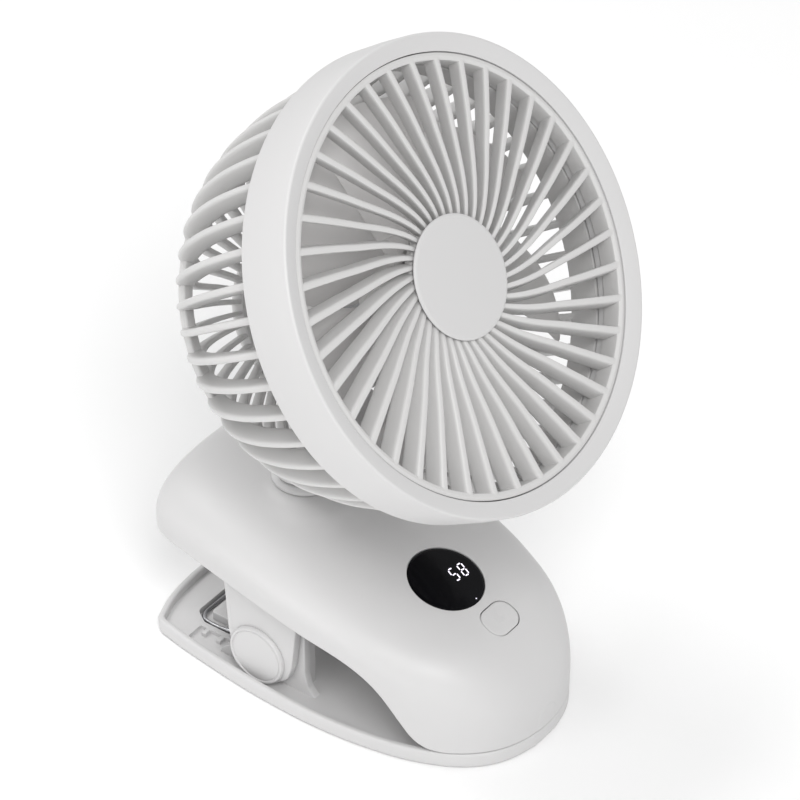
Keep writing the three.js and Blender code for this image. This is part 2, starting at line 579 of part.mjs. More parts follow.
// ---------------------------------------------------------------- display, key, electronics
add(screenGroup, "display_lens", turned([[0, -1.65], [SCREEN.r, -1.65], [SCREEN.r, -0.5],
  [SCREEN.r - 0.5, -0.15], [0, -0.1]], 40), "black");
add(screenGroup, "display_module", rod(11.2, -7.5, -1.95, 32), "offWhite");
const boardShape = [[-21, 20], [-21, -12], [-13, -26], [13, -26], [21, -12], [21, 20]];
add(screenGroup, "main_board", topPlate(boardShape, -9.5, -7.9), "board");
const keyStem = onKey(topPlate(stadium(...KEY.half), -3.4, 6)).intersect(outerSkin);
const keyFlange = onKey(topPlate(stadium(KEY.half[0] + 1.2, KEY.half[1] + 1), -4.3, -3.3));
const keyPin = onKey(rod(1.6, -5.3, -3.5, 14));
const keySolid = union([keyStem, keyFlange, keyPin]).transform(keyMatrix.clone().invert().elements);
add(keyGroup, "power_button", keySolid, "white");
const keyOnBoard = new THREE.Vector3(...KEY.at).applyMatrix4(screenMatrix.clone().invert());
add(screenGroup, "button_switch",
  block(-3, 3, keyOnBoard.y - 3, keyOnBoard.y + 3, -7.8, -6.5), "dark");
const pack = topPlate([[-19, 9], [19, 9], [20, 10], [20, 58], [19, 59], [-19, 59], [-20, 58], [-20, 10]],
  48.4, 54);
add(bodyGroup, "battery_pack", pack, "foil");
add(bodyGroup, "charge_board", block(-9, 9, 50, 66.2, 54.2, 55.3)
  .subtract(block(-1.5, 1.5, 40, 51, 50, 60)), "board");
const socket = moved(alongPort(4.6, 1.6, 61.5, 69.4), 0, 0, 57.3)
  .subtract(moved(alongPort(4.1, 1.15, 63, 75), 0, 0, 57.3));
add(bodyGroup, "charge_socket", socket.translate([0, 0, -0.1]), "steel");

// ---------------------------------------------------------------- lower jaw
const jawOutline = (inset) => {
  const half = JAW_PLAN.map(([y, w]) => [w, y]);
  const ring = [...half, ...[...half].reverse().map(([x, y]) => [-x, y])];
  const n = ring.length;
  return ring.map(([x, y], i) => {
    const [px, py] = ring[(i + n - 1) % n];
    const [qx, qy] = ring[(i + 1) % n];
    const [tx, ty] = [qx - px, qy - py];
    const l = Math.hypot(tx, ty);
    return [x + (ty / l) * inset, y - (tx / l) * inset];
  });
};
const jawRing = (inset, z) => jawOutline(inset).map(([x, y]) => [x, y, z]);
const hull = loft([jawRing(1.3, 0), jawRing(0.4, 0.5), jawRing(0, 1.6), jawRing(-0.3, JAW.rimZ - 0.4),
  jawRing(0.1, JAW.rimZ)]);
const tray = loft([jawRing(JAW.wall + 0.3, JAW.floor), jawRing(JAW.wall, JAW.floor + 1),
  jawRing(JAW.wall - 0.2, 12)]);
const shelf = loft([jawRing(0.5, 1), jawRing(0.5, JAW.shelf)])
  .intersect(block(-60, 60, 30, 80, 0, JAW.shelf));
const pocket = topPlate([[-24.5, 27], [-24.5, 54], [-21, 59.5], [21, 59.5], [24.5, 54], [24.5, 27]],
  JAW.floor, 12);
const bracketOutline = [
  [PIVOT.y - 18, JAW.floor - 0.6], [PIVOT.y - 17.6, 3], [PIVOT.y - 14.6, 6.4],
  [PIVOT.y - 12.6, 12], ...arc(PIVOT.y, PIVOT.z, 8.6, 165, 12, 12), [PIVOT.y + 12, 9],
  [PIVOT.y + 19, 4], [PIVOT.y + 20, JAW.floor - 0.6],
];
const brackets = [-1, 1].map((s) =>
  sidePlate(bracketOutline, s < 0 ? -31.8 : 28.8, s < 0 ? -28.8 : 31.8));
const gussets = [-1, 1].map((s) => block(s < 0 ? -29 : 24.6, s < 0 ? -24.6 : 29,
  PIVOT.y - 15.4, PIVOT.y - 13.4, 1, 6.5));
const padFrame = loft([jawRing(6.6, 1), jawRing(6.6, 2.6)]).intersect(block(-60, 60, -62, -29, 0, 9))
  .subtract(loft([jawRing(8, 1.9), jawRing(8, 4)]).intersect(block(-60, 60, -60.5, -30.5, 0, 9)));
let jaw = union([hull.subtract(tray), shelf.subtract(pocket), ...brackets, ...gussets, padFrame]);
jaw = jaw.subtract(moved(alongX(rod(PIVOT.pinR + 0.35, -50, 50, 24)), 0, PIVOT.y, PIVOT.z));
add(jawGroup, "lower_jaw", jaw, "white");
const jawPad = loft([jawRing(8.4, 2.15), jawRing(8.4, 4.2), jawRing(9, 4.7)])
  .intersect(block(-60, 60, -60.1, -30.9, 0, 9));
const padGrooves = union([-56, -52, -48, -44, -40, -36].map((y) => block(-50, 50, y - 0.6, y + 0.6, 4, 8)));
add(jawGroup, "jaw_pad", jawPad.subtract(padGrooves), "rubber");
const nosePad = loft([jawRing(4.2, 5.2), jawRing(3.6, 5.6), jawRing(3.6, 6.7)])
  .intersect(block(-60, 60, -80, -50, 0, 9));
add(bodyGroup, "nose_pad", nosePad, "rubber");

// ---------------------------------------------------------------- hinge pin, sleeve and clip spring
add(jawGroup, "hinge_pin", moved(alongX(rod(PIVOT.pinR, -35.2, 35.2, 20)), 0, PIVOT.y, PIVOT.z), "steel");
add(jawGroup, "spring_sleeve",
  moved(alongX(tube(PIVOT.pinR + 0.3, 4.2, -28.2, 28.2, 18)), 0, PIVOT.y, PIVOT.z), "offWhite");
function springPath() {
  const [cy, cz, R] = [PIVOT.y, PIVOT.z, 5.55];
  const half = [];
  half.push([-26.6, 50, 42.8], [-26.6, 46, 39.2], [-26.6, 34, 28.4]);
  const turns = 3.62;
  const from = 128 * DEG; // tangent of the upper leg
  const steps = 34;
  for (let i = 0; i <= steps; i++) {
    const a = from + (2 * Math.PI * turns * i) / steps;
    half.push([-26.4 + (9.4 * i) / steps, cy + R * Math.cos(a), cz + R * Math.sin(a)]);
  }
  return half;
}
const halfSpring = springPath();
const last = halfSpring[halfSpring.length - 1];
halfSpring.push([-16.8, 40, 5.9], [-16.6, 53, 4], [-16, 55.6, 3.6], [-14.4, 57, 3.4], [-12, 57.4, 3.3]);
const spring = wire([...halfSpring, ...[...halfSpring].reverse().map(([x, y, z]) => [-x, y, z])], 0.85, 5);
add(jawGroup, "clip_spring", spring, "steel");

export default root;
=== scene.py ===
"""Looks of the clip fan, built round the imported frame. Pieces are modelled in millimetres and
scaled to metres when their mesh is made. Run by Blender 4.5."""
import json
import math

import bmesh
import bpy
import numpy as np
from mathutils import Matrix, Vector

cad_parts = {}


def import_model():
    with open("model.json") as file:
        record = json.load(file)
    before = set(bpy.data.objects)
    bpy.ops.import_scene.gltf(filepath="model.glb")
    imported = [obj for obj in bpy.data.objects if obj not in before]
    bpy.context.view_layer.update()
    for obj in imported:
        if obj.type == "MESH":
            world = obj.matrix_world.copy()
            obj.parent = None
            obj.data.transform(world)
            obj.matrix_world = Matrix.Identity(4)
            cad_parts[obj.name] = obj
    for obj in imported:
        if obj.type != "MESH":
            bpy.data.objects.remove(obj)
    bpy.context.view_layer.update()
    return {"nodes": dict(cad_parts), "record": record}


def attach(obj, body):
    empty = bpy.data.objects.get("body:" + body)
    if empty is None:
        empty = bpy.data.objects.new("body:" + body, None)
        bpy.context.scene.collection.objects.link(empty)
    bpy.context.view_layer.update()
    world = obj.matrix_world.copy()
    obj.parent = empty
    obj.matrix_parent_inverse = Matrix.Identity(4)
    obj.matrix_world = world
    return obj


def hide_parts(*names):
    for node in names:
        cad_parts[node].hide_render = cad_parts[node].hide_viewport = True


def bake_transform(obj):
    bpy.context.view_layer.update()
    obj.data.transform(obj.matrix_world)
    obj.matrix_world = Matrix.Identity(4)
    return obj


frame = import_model()
MM = 0.001
DEG = math.pi / 180

# ---------------------------------------------------------------- sizes shared with the frame, mm
HEAD = {"centre": (0, -38.2, 173.75), "tilt": 32.26, "rim": 76, "band": 20.6, "seam": 70.1,
        "opening": 67.4, "cap": 19.9, "front_ribs": 40, "rear_ribs": 42}
FAN = {"blades": 7, "hub": 17.5, "tip": 59.5, "mid": 30, "thick": 1.7}
MOTOR = {"r": 19, "plate": 29, "screw": 25.3, "shaft": 1.6, "screw_angles": (-118, 1.5, 121)}
NECK = {"y": 28.3, "z": 63.5, "r": 12, "axle": (28, 75.3), "cheek": 8.5}
JAW = {"rim": 6.2, "wall": 2.3, "floor": 1.8, "shelf": 3.3, "pocket_floor": 0.9, "bay_rear": 53.8}
PIVOT = {"y": 21.5, "z": 13.5, "pin": 2.25, "pin_end": 35.2, "ear": 11.35, "cap": 11.15,
         "sleeve": 4.2, "sleeve_bore": 2.55, "sleeve_end": 28.2}
BRACKET = {"inner": 28.8, "outer": 31.8, "round": 11.6, "rib": 24.2, "rib_top": 21}
SPRING = {"wire": 0.8, "coil": 5.55, "turns": 3.361, "start": 128, "leg_x": -26.6, "coil_x": -26.4,
          "coil_length": 9.4}
WALL = 2.2
SCREEN = {"at": (0, -29.5, 47.75), "slope": 16.9, "r": 13.1}
KEY = {"at": (1.2, -50.6, 40.96), "slope": 22.5, "half": (6.9, 5.35), "corner": 4.5}
PORT = {"z": 56.2, "half": (4.9, 1.85), "socket": (4.5, 1.5), "mouth": (4.1, 1.15)}
FIGURE = {"wide": 2.0, "tall": 4.9, "bar": 0.5, "gap": 0.88, "lean": 0.12, "turn": -9,
          "at": (5.6, -1.0, -0.105)}
PAD = {"inset": 9, "front": -60, "rear": -45}

JAW_PLAN = [  # y, half width
    (72.2, 9), (71.3, 18), (69.4, 26.5), (67.5, 31.6), (66.5, 34), (65, 35.2), (60, 36.4),
    (53, 37.7), (39, 39.6),
    (24, 41.3), (8, 42.2), (-8, 42.1), (-20, 41.1), (-30, 39.5), (-38, 37.7), (-47, 34.6),
    (-55, 30.6), (-61.5, 25.6), (-66, 20), (-69, 13.6), (-70.7, 6.5)]
BODY = [  # y, half width, top, height of the widest line, roundness
    (70.6, 20, 57, 50, 2.3), (70, 25.5, 60, 49.5, 2.4), (68.4, 30.2, 62.4, 48.5, 2.5),
    (65, 33.8, 64, 48, 2.6), (59, 36.4, 64.8, 47.6, 2.7), (50, 38.4, 64.6, 47.4, 2.8),
    (40, 40, 63.8, 46.6, 2.9), (29, 41.3, 62.3, 45.6, 3), (18, 42.2, 60.5, 44.4, 3),
    (8, 42.7, 58.6, 43, 3), (-2, 42.8, 56.1, 41, 3.1), (-12, 42.3, 53.2, 38.5, 3.2),
    (-21, 41.5, 50.3, 35.5, 3.3), (-29.5, 40.3, 47.7, 32, 3.4), (-38, 38.6, 45.1, 27, 3.5),
    (-45, 36.4, 43, 23, 3.6), (-51, 33.6, 40.7, 20, 3.6), (-56.5, 30.2, 37.6, 17.5, 3.4),
    (-61.5, 25.9, 33.4, 15, 3.1), (-65.5, 21, 28.6, 13, 2.9), (-68.4, 15.6, 23.4, 11.5, 2.7),
    (-70.2, 10, 18.6, 10.5, 2.5), (-71, 5, 14.5, 9.5, 2.4)]
SKIRT = [  # y, z of the body's lower edge
    (76, 45.4), (64, 45.2), (52, 45.2), (41, 44.7), (30, 43.7), (19, 42.2), (8, 40.4), (-2, 38.5),
    (-11, 36.8), (-18, 35), (-24, 32.5), (-29, 29.2), (-33, 25.2), (-36.5, 20.6), (-39.5, 16.2),
    (-42, 12.6), (-45, 9.6), (-49, 7.6), (-54, 7), (-80, 7)]
REAR_RIB = [  # radius, depth, thickness, blade depth, turn
    (71.6, 22.6, 2.7, 3.6, 0), (70.4, 35, 2.8, 6.6, 0), (66.6, 53, 2.8, 6.8, 0),
    (60.8, 67.6, 2.7, 6.8, 0), (54.8, 76.4, 2.5, 6.2, 0.4), (45, 83, 2.2, 5, 1.6),
    (23.6, 84.5, 1.6, 4.2, 6.5)]
FRONT_RIB = [  # radius, turn, front depth, rear depth, width
    (68.6, 0, 2.3, 9, 2.3), (55, 2.6, 2.4, 8.8, 2.15), (42, 6.3, 3, 8.9, 1.95),
    (31, 12, 3.9, 9.3, 1.75), (22.4, 18, 5, 9.8, 1.5), (18, 21.7, 6.2, 10.2, 1.4)]
PEDESTAL = [(24, 58.4), (19.5, 60.9), (16, 62.1), (13.6, 63), (12.2, 63.5)]  # radius, height

# ---------------------------------------------------------------- frames, mm
TILT = HEAD["tilt"] * DEG


def basis(x, y, z, at):
    """4x4 matrix from three axes and an origin."""
    m = np.eye(4)
    m[:3, 0], m[:3, 1], m[:3, 2], m[:3, 3] = x, y, z, at
    return m


def slope_frame(at, slope):
    s = slope * DEG
    return basis((1, 0, 0), (0, math.cos(s), math.sin(s)), (0, -math.sin(s), math.cos(s)), at)


HEAD_FRAME = basis((1, 0, 0), (0, math.sin(TILT), math.cos(TILT)),
                   (0, -math.cos(TILT), math.sin(TILT)), HEAD["centre"])
SCREEN_FRAME = slope_frame(SCREEN["at"], SCREEN["slope"])
KEY_FRAME = slope_frame(KEY["at"], KEY["slope"])
ALONG_X = basis((0, 1, 0), (0, 0, 1), (1, 0, 0), (0, 0, 0))
AXLE_FRAME = basis((0, 1, 0), (0, 0, 1), (1, 0, 0), (0, *NECK["axle"]))
PIVOT_FRAME = basis((0, 1, 0), (0, 0, 1), (1, 0, 0), (0, PIVOT["y"], PIVOT["z"]))
NECK_FRAME = basis((1, 0, 0), (0, 1, 0), (0, 0, 1), (0, NECK["y"], 0))
PORT_FRAME = basis((-1, 0, 0), (0, 0, 1), (0, 1, 0), (0, 0, PORT["z"]))
IDENTITY = np.eye(4)


def shifted(m, x=0, y=0, z=0):
    t = np.eye(4)
    t[:3, 3] = (x, y, z)
    return m @ t


# ---------------------------------------------------------------- curves
def table(rows, col, t):
    """Monotone cubic through a table sorted by its first column."""
    s = sorted(rows)
    if t <= s[0][0]:
        return s[0][col]
    if t >= s[-1][0]:
        return s[-1][col]
    i = 0
    while s[i + 1][0] < t:
        i += 1

    def slope(k):
        return (s[k + 1][col] - s[k][col]) / (s[k + 1][0] - s[k][0])

    def knot(k):
        if k == 0:
            return slope(0)
        if k == len(s) - 1:
            return slope(k - 1)
        a, b = slope(k - 1), slope(k)
        return 0 if a * b <= 0 else 2 * a * b / (a + b)

    h = s[i + 1][0] - s[i][0]
    u = (t - s[i][0]) / h
    return ((2 * u ** 3 - 3 * u ** 2 + 1) * s[i][col] + (u ** 3 - 2 * u ** 2 + u) * knot(i) * h
            + (-2 * u ** 3 + 3 * u ** 2) * s[i + 1][col] + (u ** 3 - u ** 2) * knot(i + 1) * h)


def spline(rows, count, key=2):
    """Smooth curve through rows of numbers, spaced by the distance in the first key columns."""
    p = np.asarray(rows, float)
    step = np.linalg.norm(np.diff(p[:, :key], axis=0), axis=1)
    t = np.concatenate([[0], np.cumsum(step)])
    m = np.zeros_like(p)
    d = np.diff(p, axis=0) / step[:, None]
    m[0], m[-1] = d[0], d[-1]
    w = (step[1:] / (step[:-1] + step[1:]))[:, None]
    m[1:-1] = w * d[:-1] + (1 - w) * d[1:]
    out = []
    for x in np.linspace(0, t[-1], count):
        i = min(int(np.searchsorted(t, x, side="right")) - 1, len(step) - 1)
        u = (x - t[i]) / step[i]
        out.append((2 * u ** 3 - 3 * u ** 2 + 1) * p[i] + (u ** 3 - 2 * u ** 2 + u) * m[i] * step[i]
                   + (-2 * u ** 3 + 3 * u ** 2) * p[i + 1] + (u ** 3 - u ** 2) * m[i + 1] * step[i])
    return np.array(out)


def rounded(points, closed=True, steps=4):
    """Outline of (a, b, fillet) points with each corner turned into an arc."""
    n = len(points)
    out = []
    for i, (a, b, fillet) in enumerate(points):
        if fillet <= 0 or (not closed and i in (0, n - 1)):
            out.append((a, b))
            continue
        p = np.array((a, b), float)
        va = np.array(points[i - 1][:2], float) - p
        vb = np.array(points[(i + 1) % n][:2], float) - p
        la, lb = np.linalg.norm(va), np.linalg.norm(vb)
        ua, ub = va / la, vb / lb
        half = math.acos(max(-1, min(1, float(ua @ ub)))) / 2
        if half > 1.54:
            out.append((a, b))
            continue
        d = min(fillet / math.tan(half), 0.48 * la, 0.48 * lb)
        r = d * math.tan(half)
        mid = (ua + ub) / np.linalg.norm(ua + ub)
        c = p + mid * (r / math.sin(half))
        s, e = p + ua * d - c, p + ub * d - c
        sweep = math.pi - 2 * half
        for k in range(steps + 1):
            u = k / steps
            v = (math.sin((1 - u) * sweep) * s + math.sin(u * sweep) * e) / math.sin(sweep)
            out.append(tuple(c + v))
    return out


def arc(cy, cz, r, start, end, n=12):
    return [(cy + r * math.cos((start + (end - start) * i / n) * DEG),
             cz + r * math.sin((start + (end - start) * i / n) * DEG)) for i in range(n + 1)]


def stadium(hx, hy, n=12):
    return arc(hx - hy, 0, hy, -90, 90, n) + arc(hy - hx, 0, hy, 90, 270, n)


# ---------------------------------------------------------------- meshes
class Form:
    """Points and faces gathered for one piece, in millimetres."""

    def __init__(self):
        self.points = []
        self.faces = []

    def add(self, points, faces, m=IDENTITY):
        p = np.asarray(points, float) @ m[:3, :3].T + m[:3, 3]
        k = len(self.points)
        self.points.extend(p.tolist())
        self.faces.extend([tuple(i + k for i in f) for f in faces])
        return self

    def skin(self, rings, m=IDENTITY, loop=False, caps=True):
        """Quads between equal rings; loop joins the last to the first, caps close the ends."""
        r = np.asarray(rings, float)
        a, b = r.shape[:2]
        faces = []
        for i in range(a if loop else a - 1):
            for j in range(b):
                i2, j2 = (i + 1) % a, (j + 1) % b
                faces.append((i * b + j, i * b + j2, i2 * b + j2, i2 * b + j))
        if caps and not loop:
            faces.append(tuple(range(b))[::-1])
            faces.append(tuple((a - 1) * b + j for j in range(b)))
        return self.add(r.reshape(-1, 3), faces, m)

    def lathe(self, profile, m=IDENTITY, seg=96, steps=4):
        """Turned about z from (radius, z, fillet) points. On-axis ends close the form."""
        open_ends = profile[0][0] == 0 and profile[-1][0] == 0
        line = rounded(profile, not open_ends, steps)
        rings = [[(r * math.cos(2 * math.pi * k / seg), r * math.sin(2 * math.pi * k / seg), z)
                  for k in range(seg)] for r, z in line]
        return self.skin(rings, m, loop=not open_ends, caps=False)

    def prism(self, outline, z0, z1, m=IDENTITY, bevel=0.3, steps=3):
        """Flat outline with rounded upper and lower edges."""
        o = np.array(outline, float)
        nxt, prv = np.roll(o, -1, 0), np.roll(o, 1, 0)
        t = nxt - prv
        t /= np.maximum(np.linalg.norm(t, axis=1)[:, None], 1e-9)
        area = float(np.sum(o[:, 0] * nxt[:, 1] - nxt[:, 0] * o[:, 1]))
        n = np.stack([t[:, 1], -t[:, 0]], 1) * (1 if area > 0 else -1)
        rings = []
        for z, way in ((z0, 1), (z1, -1)):
            part = []
            for k in range(steps + 1):
                a = math.pi / 2 * k / steps
                inset = bevel * (1 - math.sin(a))
                p = o - n * inset
                part.append([(x, y, z + way * bevel * (1 - math.cos(a))) for x, y in p])
            rings += part if way == 1 else part[::-1]
        return self.skin(rings, m)


def mesh_of(name, form, sharp=38):
    mesh = bpy.data.meshes.new(name)
    mesh.from_pydata((np.array(form.points) * MM).tolist(), [], form.faces)
    bm = bmesh.new()
    bm.from_mesh(mesh)
    bmesh.ops.remove_doubles(bm, verts=bm.verts, dist=2e-6)
    bmesh.ops.dissolve_degenerate(bm, dist=1e-6, edges=bm.edges)
    bmesh.ops.recalc_face_normals(bm, faces=bm.faces)
    bm.to_mesh(mesh)
    bm.free()
    finish_mesh(mesh, sharp)
    return mesh


def finish_mesh(mesh, sharp):
    mesh.polygons.foreach_set("use_smooth", [True] * len(mesh.polygons))
    mesh.set_sharp_from_angle(angle=sharp * DEG)
    mesh.update()


def loose(name, form, sharp=38):
    obj = bpy.data.objects.new(name, mesh_of(name, form, sharp))
    bpy.context.scene.collection.objects.link(obj)
    return obj


def bake_modifiers(obj, sharp=38):
    """Turns the object's modifiers into its own mesh."""
    bpy.context.view_layer.update()
    made = bpy.data.meshes.new_from_object(obj.evaluated_get(bpy.context.evaluated_depsgraph_get()))
    obj.modifiers.clear()
    old = obj.data
    obj.data = made
    bpy.data.meshes.remove(old)
    finish_mesh(made, sharp)


def combine(obj, cutter, how="DIFFERENCE", sharp=38):
    m = obj.modifiers.new("cut", "BOOLEAN")
    m.object = cutter
    m.operation = how
    m.solver = "EXACT"
    bake_modifiers(obj, sharp)
    bpy.data.objects.remove(cutter)


def piece(obj, body, material, slot, *nodes):
    """Gives a finished object its material and its body, and hides the frame nodes it stands for. The slot
    is not used.
    """
    obj.data.materials.clear()
    obj.data.materials.append(material)
    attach(obj, body)
    if nodes:
        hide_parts(*nodes)
    return obj


def simple(name, form, body, material, slot, *nodes, sharp=38):
    return piece(loose(name, form, sharp), body, material, slot, *nodes)


def refined(node, name, body, material, slot, bevel=0.0):
    """A copy of a frame node with merged points, whole flat faces and softened edges."""
    sharp = 35
    source = frame["nodes"][node]
    mesh = source.data.copy()
    bm = bmesh.new()
    bm.from_mesh(mesh)
    bmesh.ops.remove_doubles(bm, verts=bm.verts, dist=2e-6)
    bmesh.ops.dissolve_limit(bm, angle_limit=1.2 * DEG, verts=bm.verts, edges=bm.edges)
    bmesh.ops.recalc_face_normals(bm, faces=bm.faces)
    bm.to_mesh(mesh)
    bm.free()
    mesh.name = name
    obj = bpy.data.objects.new(name, mesh)
    bpy.context.scene.collection.objects.link(obj)
    if bevel:
        m = obj.modifiers.new("edge", "BEVEL")
        m.width = bevel * MM
        m.segments = 2
        m.limit_method = "ANGLE"
        m.angle_limit = 40 * DEG
        bake_modifiers(obj, sharp)
    else:
        finish_mesh(mesh, sharp)
    return piece(obj, body, material, slot, node)


# ---------------------------------------------------------------- materials
def shader(name, colour, rough, metal=0.0, **inputs):
    mat = bpy.data.materials.new(name)
    mat.use_nodes = True
    bsdf = mat.node_tree.nodes["Principled BSDF"]
    bsdf.inputs["Base Color"].default_value = (*colour, 1)
    bsdf.inputs["Roughness"].default_value = rough
    bsdf.inputs["Metallic"].default_value = metal
    for key, value in inputs.items():
        bsdf.inputs[key.replace("_", " ")].default_value = value
    return mat, bsdf


def noise(mat, scale, detail=3.0, stretch=(1, 1, 1)):
    """Noise on the piece's own coordinates; scale is waves per metre."""
    nodes, links = mat.node_tree.nodes, mat.node_tree.links
    place = nodes.new("ShaderNodeTexCoord")
    size = nodes.new("ShaderNodeMapping")
    size.inputs["Scale"].default_value = stretch
    tex = nodes.new("ShaderNodeTexNoise")
    tex.inputs["Scale"].default_value = scale
    tex.inputs["Detail"].default_value = detail
    links.new(place.outputs["Object"], size.inputs["Vector"])
    links.new(size.outputs["Vector"], tex.inputs["Vector"])
    return tex.outputs["Fac"]


def spread(mat, fac, low, high):
    nodes, links = mat.node_tree.nodes, mat.node_tree.links
    m = nodes.new("ShaderNodeMapRange")
    m.inputs["From Min"].default_value = 0.3
    m.inputs["From Max"].default_value = 0.7
    m.inputs["To Min"].default_value = low
    m.inputs["To Max"].default_value = high
    links.new(fac, m.inputs["Value"])
    return m.outputs["Result"]


def tint(mat, bsdf, fac, a, b):
    nodes, links = mat.node_tree.nodes, mat.node_tree.links
    mix = nodes.new("ShaderNodeMix")
    mix.data_type = "RGBA"
    mix.inputs["A"].default_value = (*a, 1)
    mix.inputs["B"].default_value = (*b, 1)
    links.new(fac, mix.inputs["Factor"])
    links.new(mix.outputs["Result"], bsdf.inputs["Base Color"])


def relief(mat, bsdf, fac, depth, edge=0.0):
    """Bump of a depth in metres, over edges softened by a radius in millimetres."""
    nodes, links = mat.node_tree.nodes, mat.node_tree.links
    bump = nodes.new("ShaderNodeBump")
    bump.inputs["Strength"].default_value = 0.6
    bump.inputs["Distance"].default_value = depth
    links.new(fac, bump.inputs["Height"])
    if edge:
        soft = nodes.new("ShaderNodeBevel")
        soft.samples = 4
        soft.inputs["Radius"].default_value = edge * MM
        links.new(soft.outputs["Normal"], bump.inputs["Normal"])
    links.new(bump.outputs["Normal"], bsdf.inputs["Normal"])


def moulded(name, colour, rough, grain=2600, depth=0.000018, edge=0.25):
    """Moulded plastic: spark-eroded grain, slow shade and gloss drift."""
    mat, bsdf = shader(name, colour, rough, Specular_IOR_Level=0.45)
    slow = noise(mat, 24, 2)
    tint(mat, bsdf, slow, tuple(c * 0.985 for c in colour), tuple(min(c * 1.012, 1) for c in colour))
    links = mat.node_tree.links
    links.new(spread(mat, noise(mat, 70, 3), rough - 0.04, rough + 0.05), bsdf.inputs["Roughness"])
    relief(mat, bsdf, noise(mat, grain, 2), depth, edge)
    return mat


def turned_metal(name, colour, rough, stretch=(1, 1, 1)):
    mat, bsdf = shader(name, colour, rough, 1.0)
    fine = noise(mat, 900, 4, stretch)
    mat.node_tree.links.new(spread(mat, fine, rough - 0.08, rough + 0.12), bsdf.inputs["Roughness"])
    tint(mat, bsdf, noise(mat, 60, 3), tuple(c * 0.9 for c in colour), colour)
    relief(mat, bsdf, fine, 0.00001, 0.1)
    return mat


WHITE = (0.622, 0.617, 0.617)
white = moulded("white_plastic", WHITE, 0.43)
cage_white = moulded("cage_plastic", (0.622, 0.617, 0.612), 0.40, 2200, 0.000012)
blade_white = moulded("blade_plastic", (0.6, 0.59, 0.585), 0.45, 1800)
inner_white = moulded("inner_plastic", (0.58, 0.575, 0.57), 0.5)
steel = turned_metal("spring_steel", (0.3, 0.3, 0.31), 0.3, (0.2, 1, 1))
screw_steel = turned_metal("zinc_screw", (0.34, 0.33, 0.31), 0.35)
motor_metal = turned_metal("motor_shell", (0.50, 0.51, 0.53), 0.32)
dark_metal = turned_metal("dark_hub", (0.12, 0.12, 0.13), 0.38)
brass = turned_metal("brass_bearing", (0.55, 0.42, 0.21), 0.3)


def make_lens():
    mat, bsdf = shader("display_gloss", (0.002, 0.002, 0.003), 0.09, Specular_IOR_Level=0.09)
    mat.node_tree.links.new(spread(mat, noise(mat, 160, 3), 0.07, 0.13), bsdf.inputs["Roughness"])
    relief(mat, bsdf, noise(mat, 40, 1), 0.000004, 0.2)
    return mat


def make_rubber():
    mat, bsdf = shader("soft_rubber", (0.03, 0.03, 0.032), 0.8)
    tint(mat, bsdf, noise(mat, 130, 4), (0.024, 0.024, 0.026), (0.042, 0.042, 0.044))
    relief(mat, bsdf, noise(mat, 1500, 3), 0.00003, 0.2)
    return mat


def make_board():
    mat, bsdf = shader("solder_mask", (0.05, 0.2, 0.1), 0.4)
    tint(mat, bsdf, noise(mat, 400, 4), (0.035, 0.17, 0.08), (0.07, 0.26, 0.13))
    return mat


def make_foil():
    mat, bsdf = shader("cell_foil", (0.5, 0.52, 0.55), 0.35, 0.6)
    relief(mat, bsdf, noise(mat, 90, 3), 0.0003)
    mat.node_tree.links.new(spread(mat, noise(mat, 200, 3), 0.28, 0.45), bsdf.inputs["Roughness"])
    return mat


def make_glow():
    mat, bsdf = shader("digit_glow", (0.9, 0.88, 1.0), 0.4)
    bsdf.inputs["Emission Color"].default_value = (0.93, 0.88, 1.0, 1)
    bsdf.inputs["Emission Strength"].default_value = 1.0
    tint(mat, bsdf, noise(mat, 800, 2), (0.86, 0.82, 1.0), (1.0, 0.98, 1.0))
    return mat


lens_black = make_lens()
rubber = make_rubber()
board = make_board()
foil = make_foil()
glow = make_glow()

SLOT_MATERIAL = {
    "shell_white": white, "impeller_white": blade_white, "inner_white": inner_white, "steel": steel,
    "screw_steel": screw_steel, "motor_metal": motor_metal, "dark_metal": dark_metal, "brass": brass,
    "black_gloss": lens_black, "rubber": rubber, "circuit_board": board, "battery_foil": foil}
for row in frame["record"]["subparts"]:
    node = frame["nodes"][row["node"]]
    node.data.materials.clear()
    node.data.materials.append(SLOT_MATERIAL[row["material_slot"]])


# ---------------------------------------------------------------- head
def front_bezel():
    f = Form()
    rim = HEAD["rim"]
    f.lathe([(rim - 0.5, -HEAD["band"], 0.3), (rim, -9, 4), (rim, 0, 0.75), (HEAD["seam"], -2.0, 0.25),
             (HEAD["seam"], -9.9, 0), (67.9, -9.9, 0), (67.9, -12.2, 0), (73.5, -12.6, 0.5),
             (73.5, -HEAD["band"], 0.4)], HEAD_FRAME, 256, 5)
    simple("bezel", f, "head", white, "shell_white", "front_bezel")


def front_rib(f, index):
    start = 6.73 + index * 360 / HEAD["front_ribs"]
    rows = spline(FRONT_RIB, 26)
    path = np.array([(r * math.sin((start + t) * DEG), r * math.cos((start + t) * DEG))
                     for r, t in rows[:, :2]])
    along = np.gradient(path, axis=0)
    along /= np.linalg.norm(along, axis=1)[:, None]
    rings = []
    for p, d, (_, _, front, rear, w) in zip(path, along, rows):
        n = np.array((-d[1], d[0]))
        h = 0.58 * w
        ring = []
        for k in range(16):
            a = 2 * math.pi * (k + 0.5) / 16
            s = math.copysign(abs(math.cos(a)) ** 0.55, math.cos(a)) * h
            v = (1 - math.copysign(abs(math.sin(a)) ** 0.28, math.sin(a))) / 2
            lean = 1.3 * v
            q = p + n * (s + lean)
            ring.append((q[0], q[1], -(front + (rear - front) * v)))
        rings.append(ring)
    f.skin(rings, HEAD_FRAME)


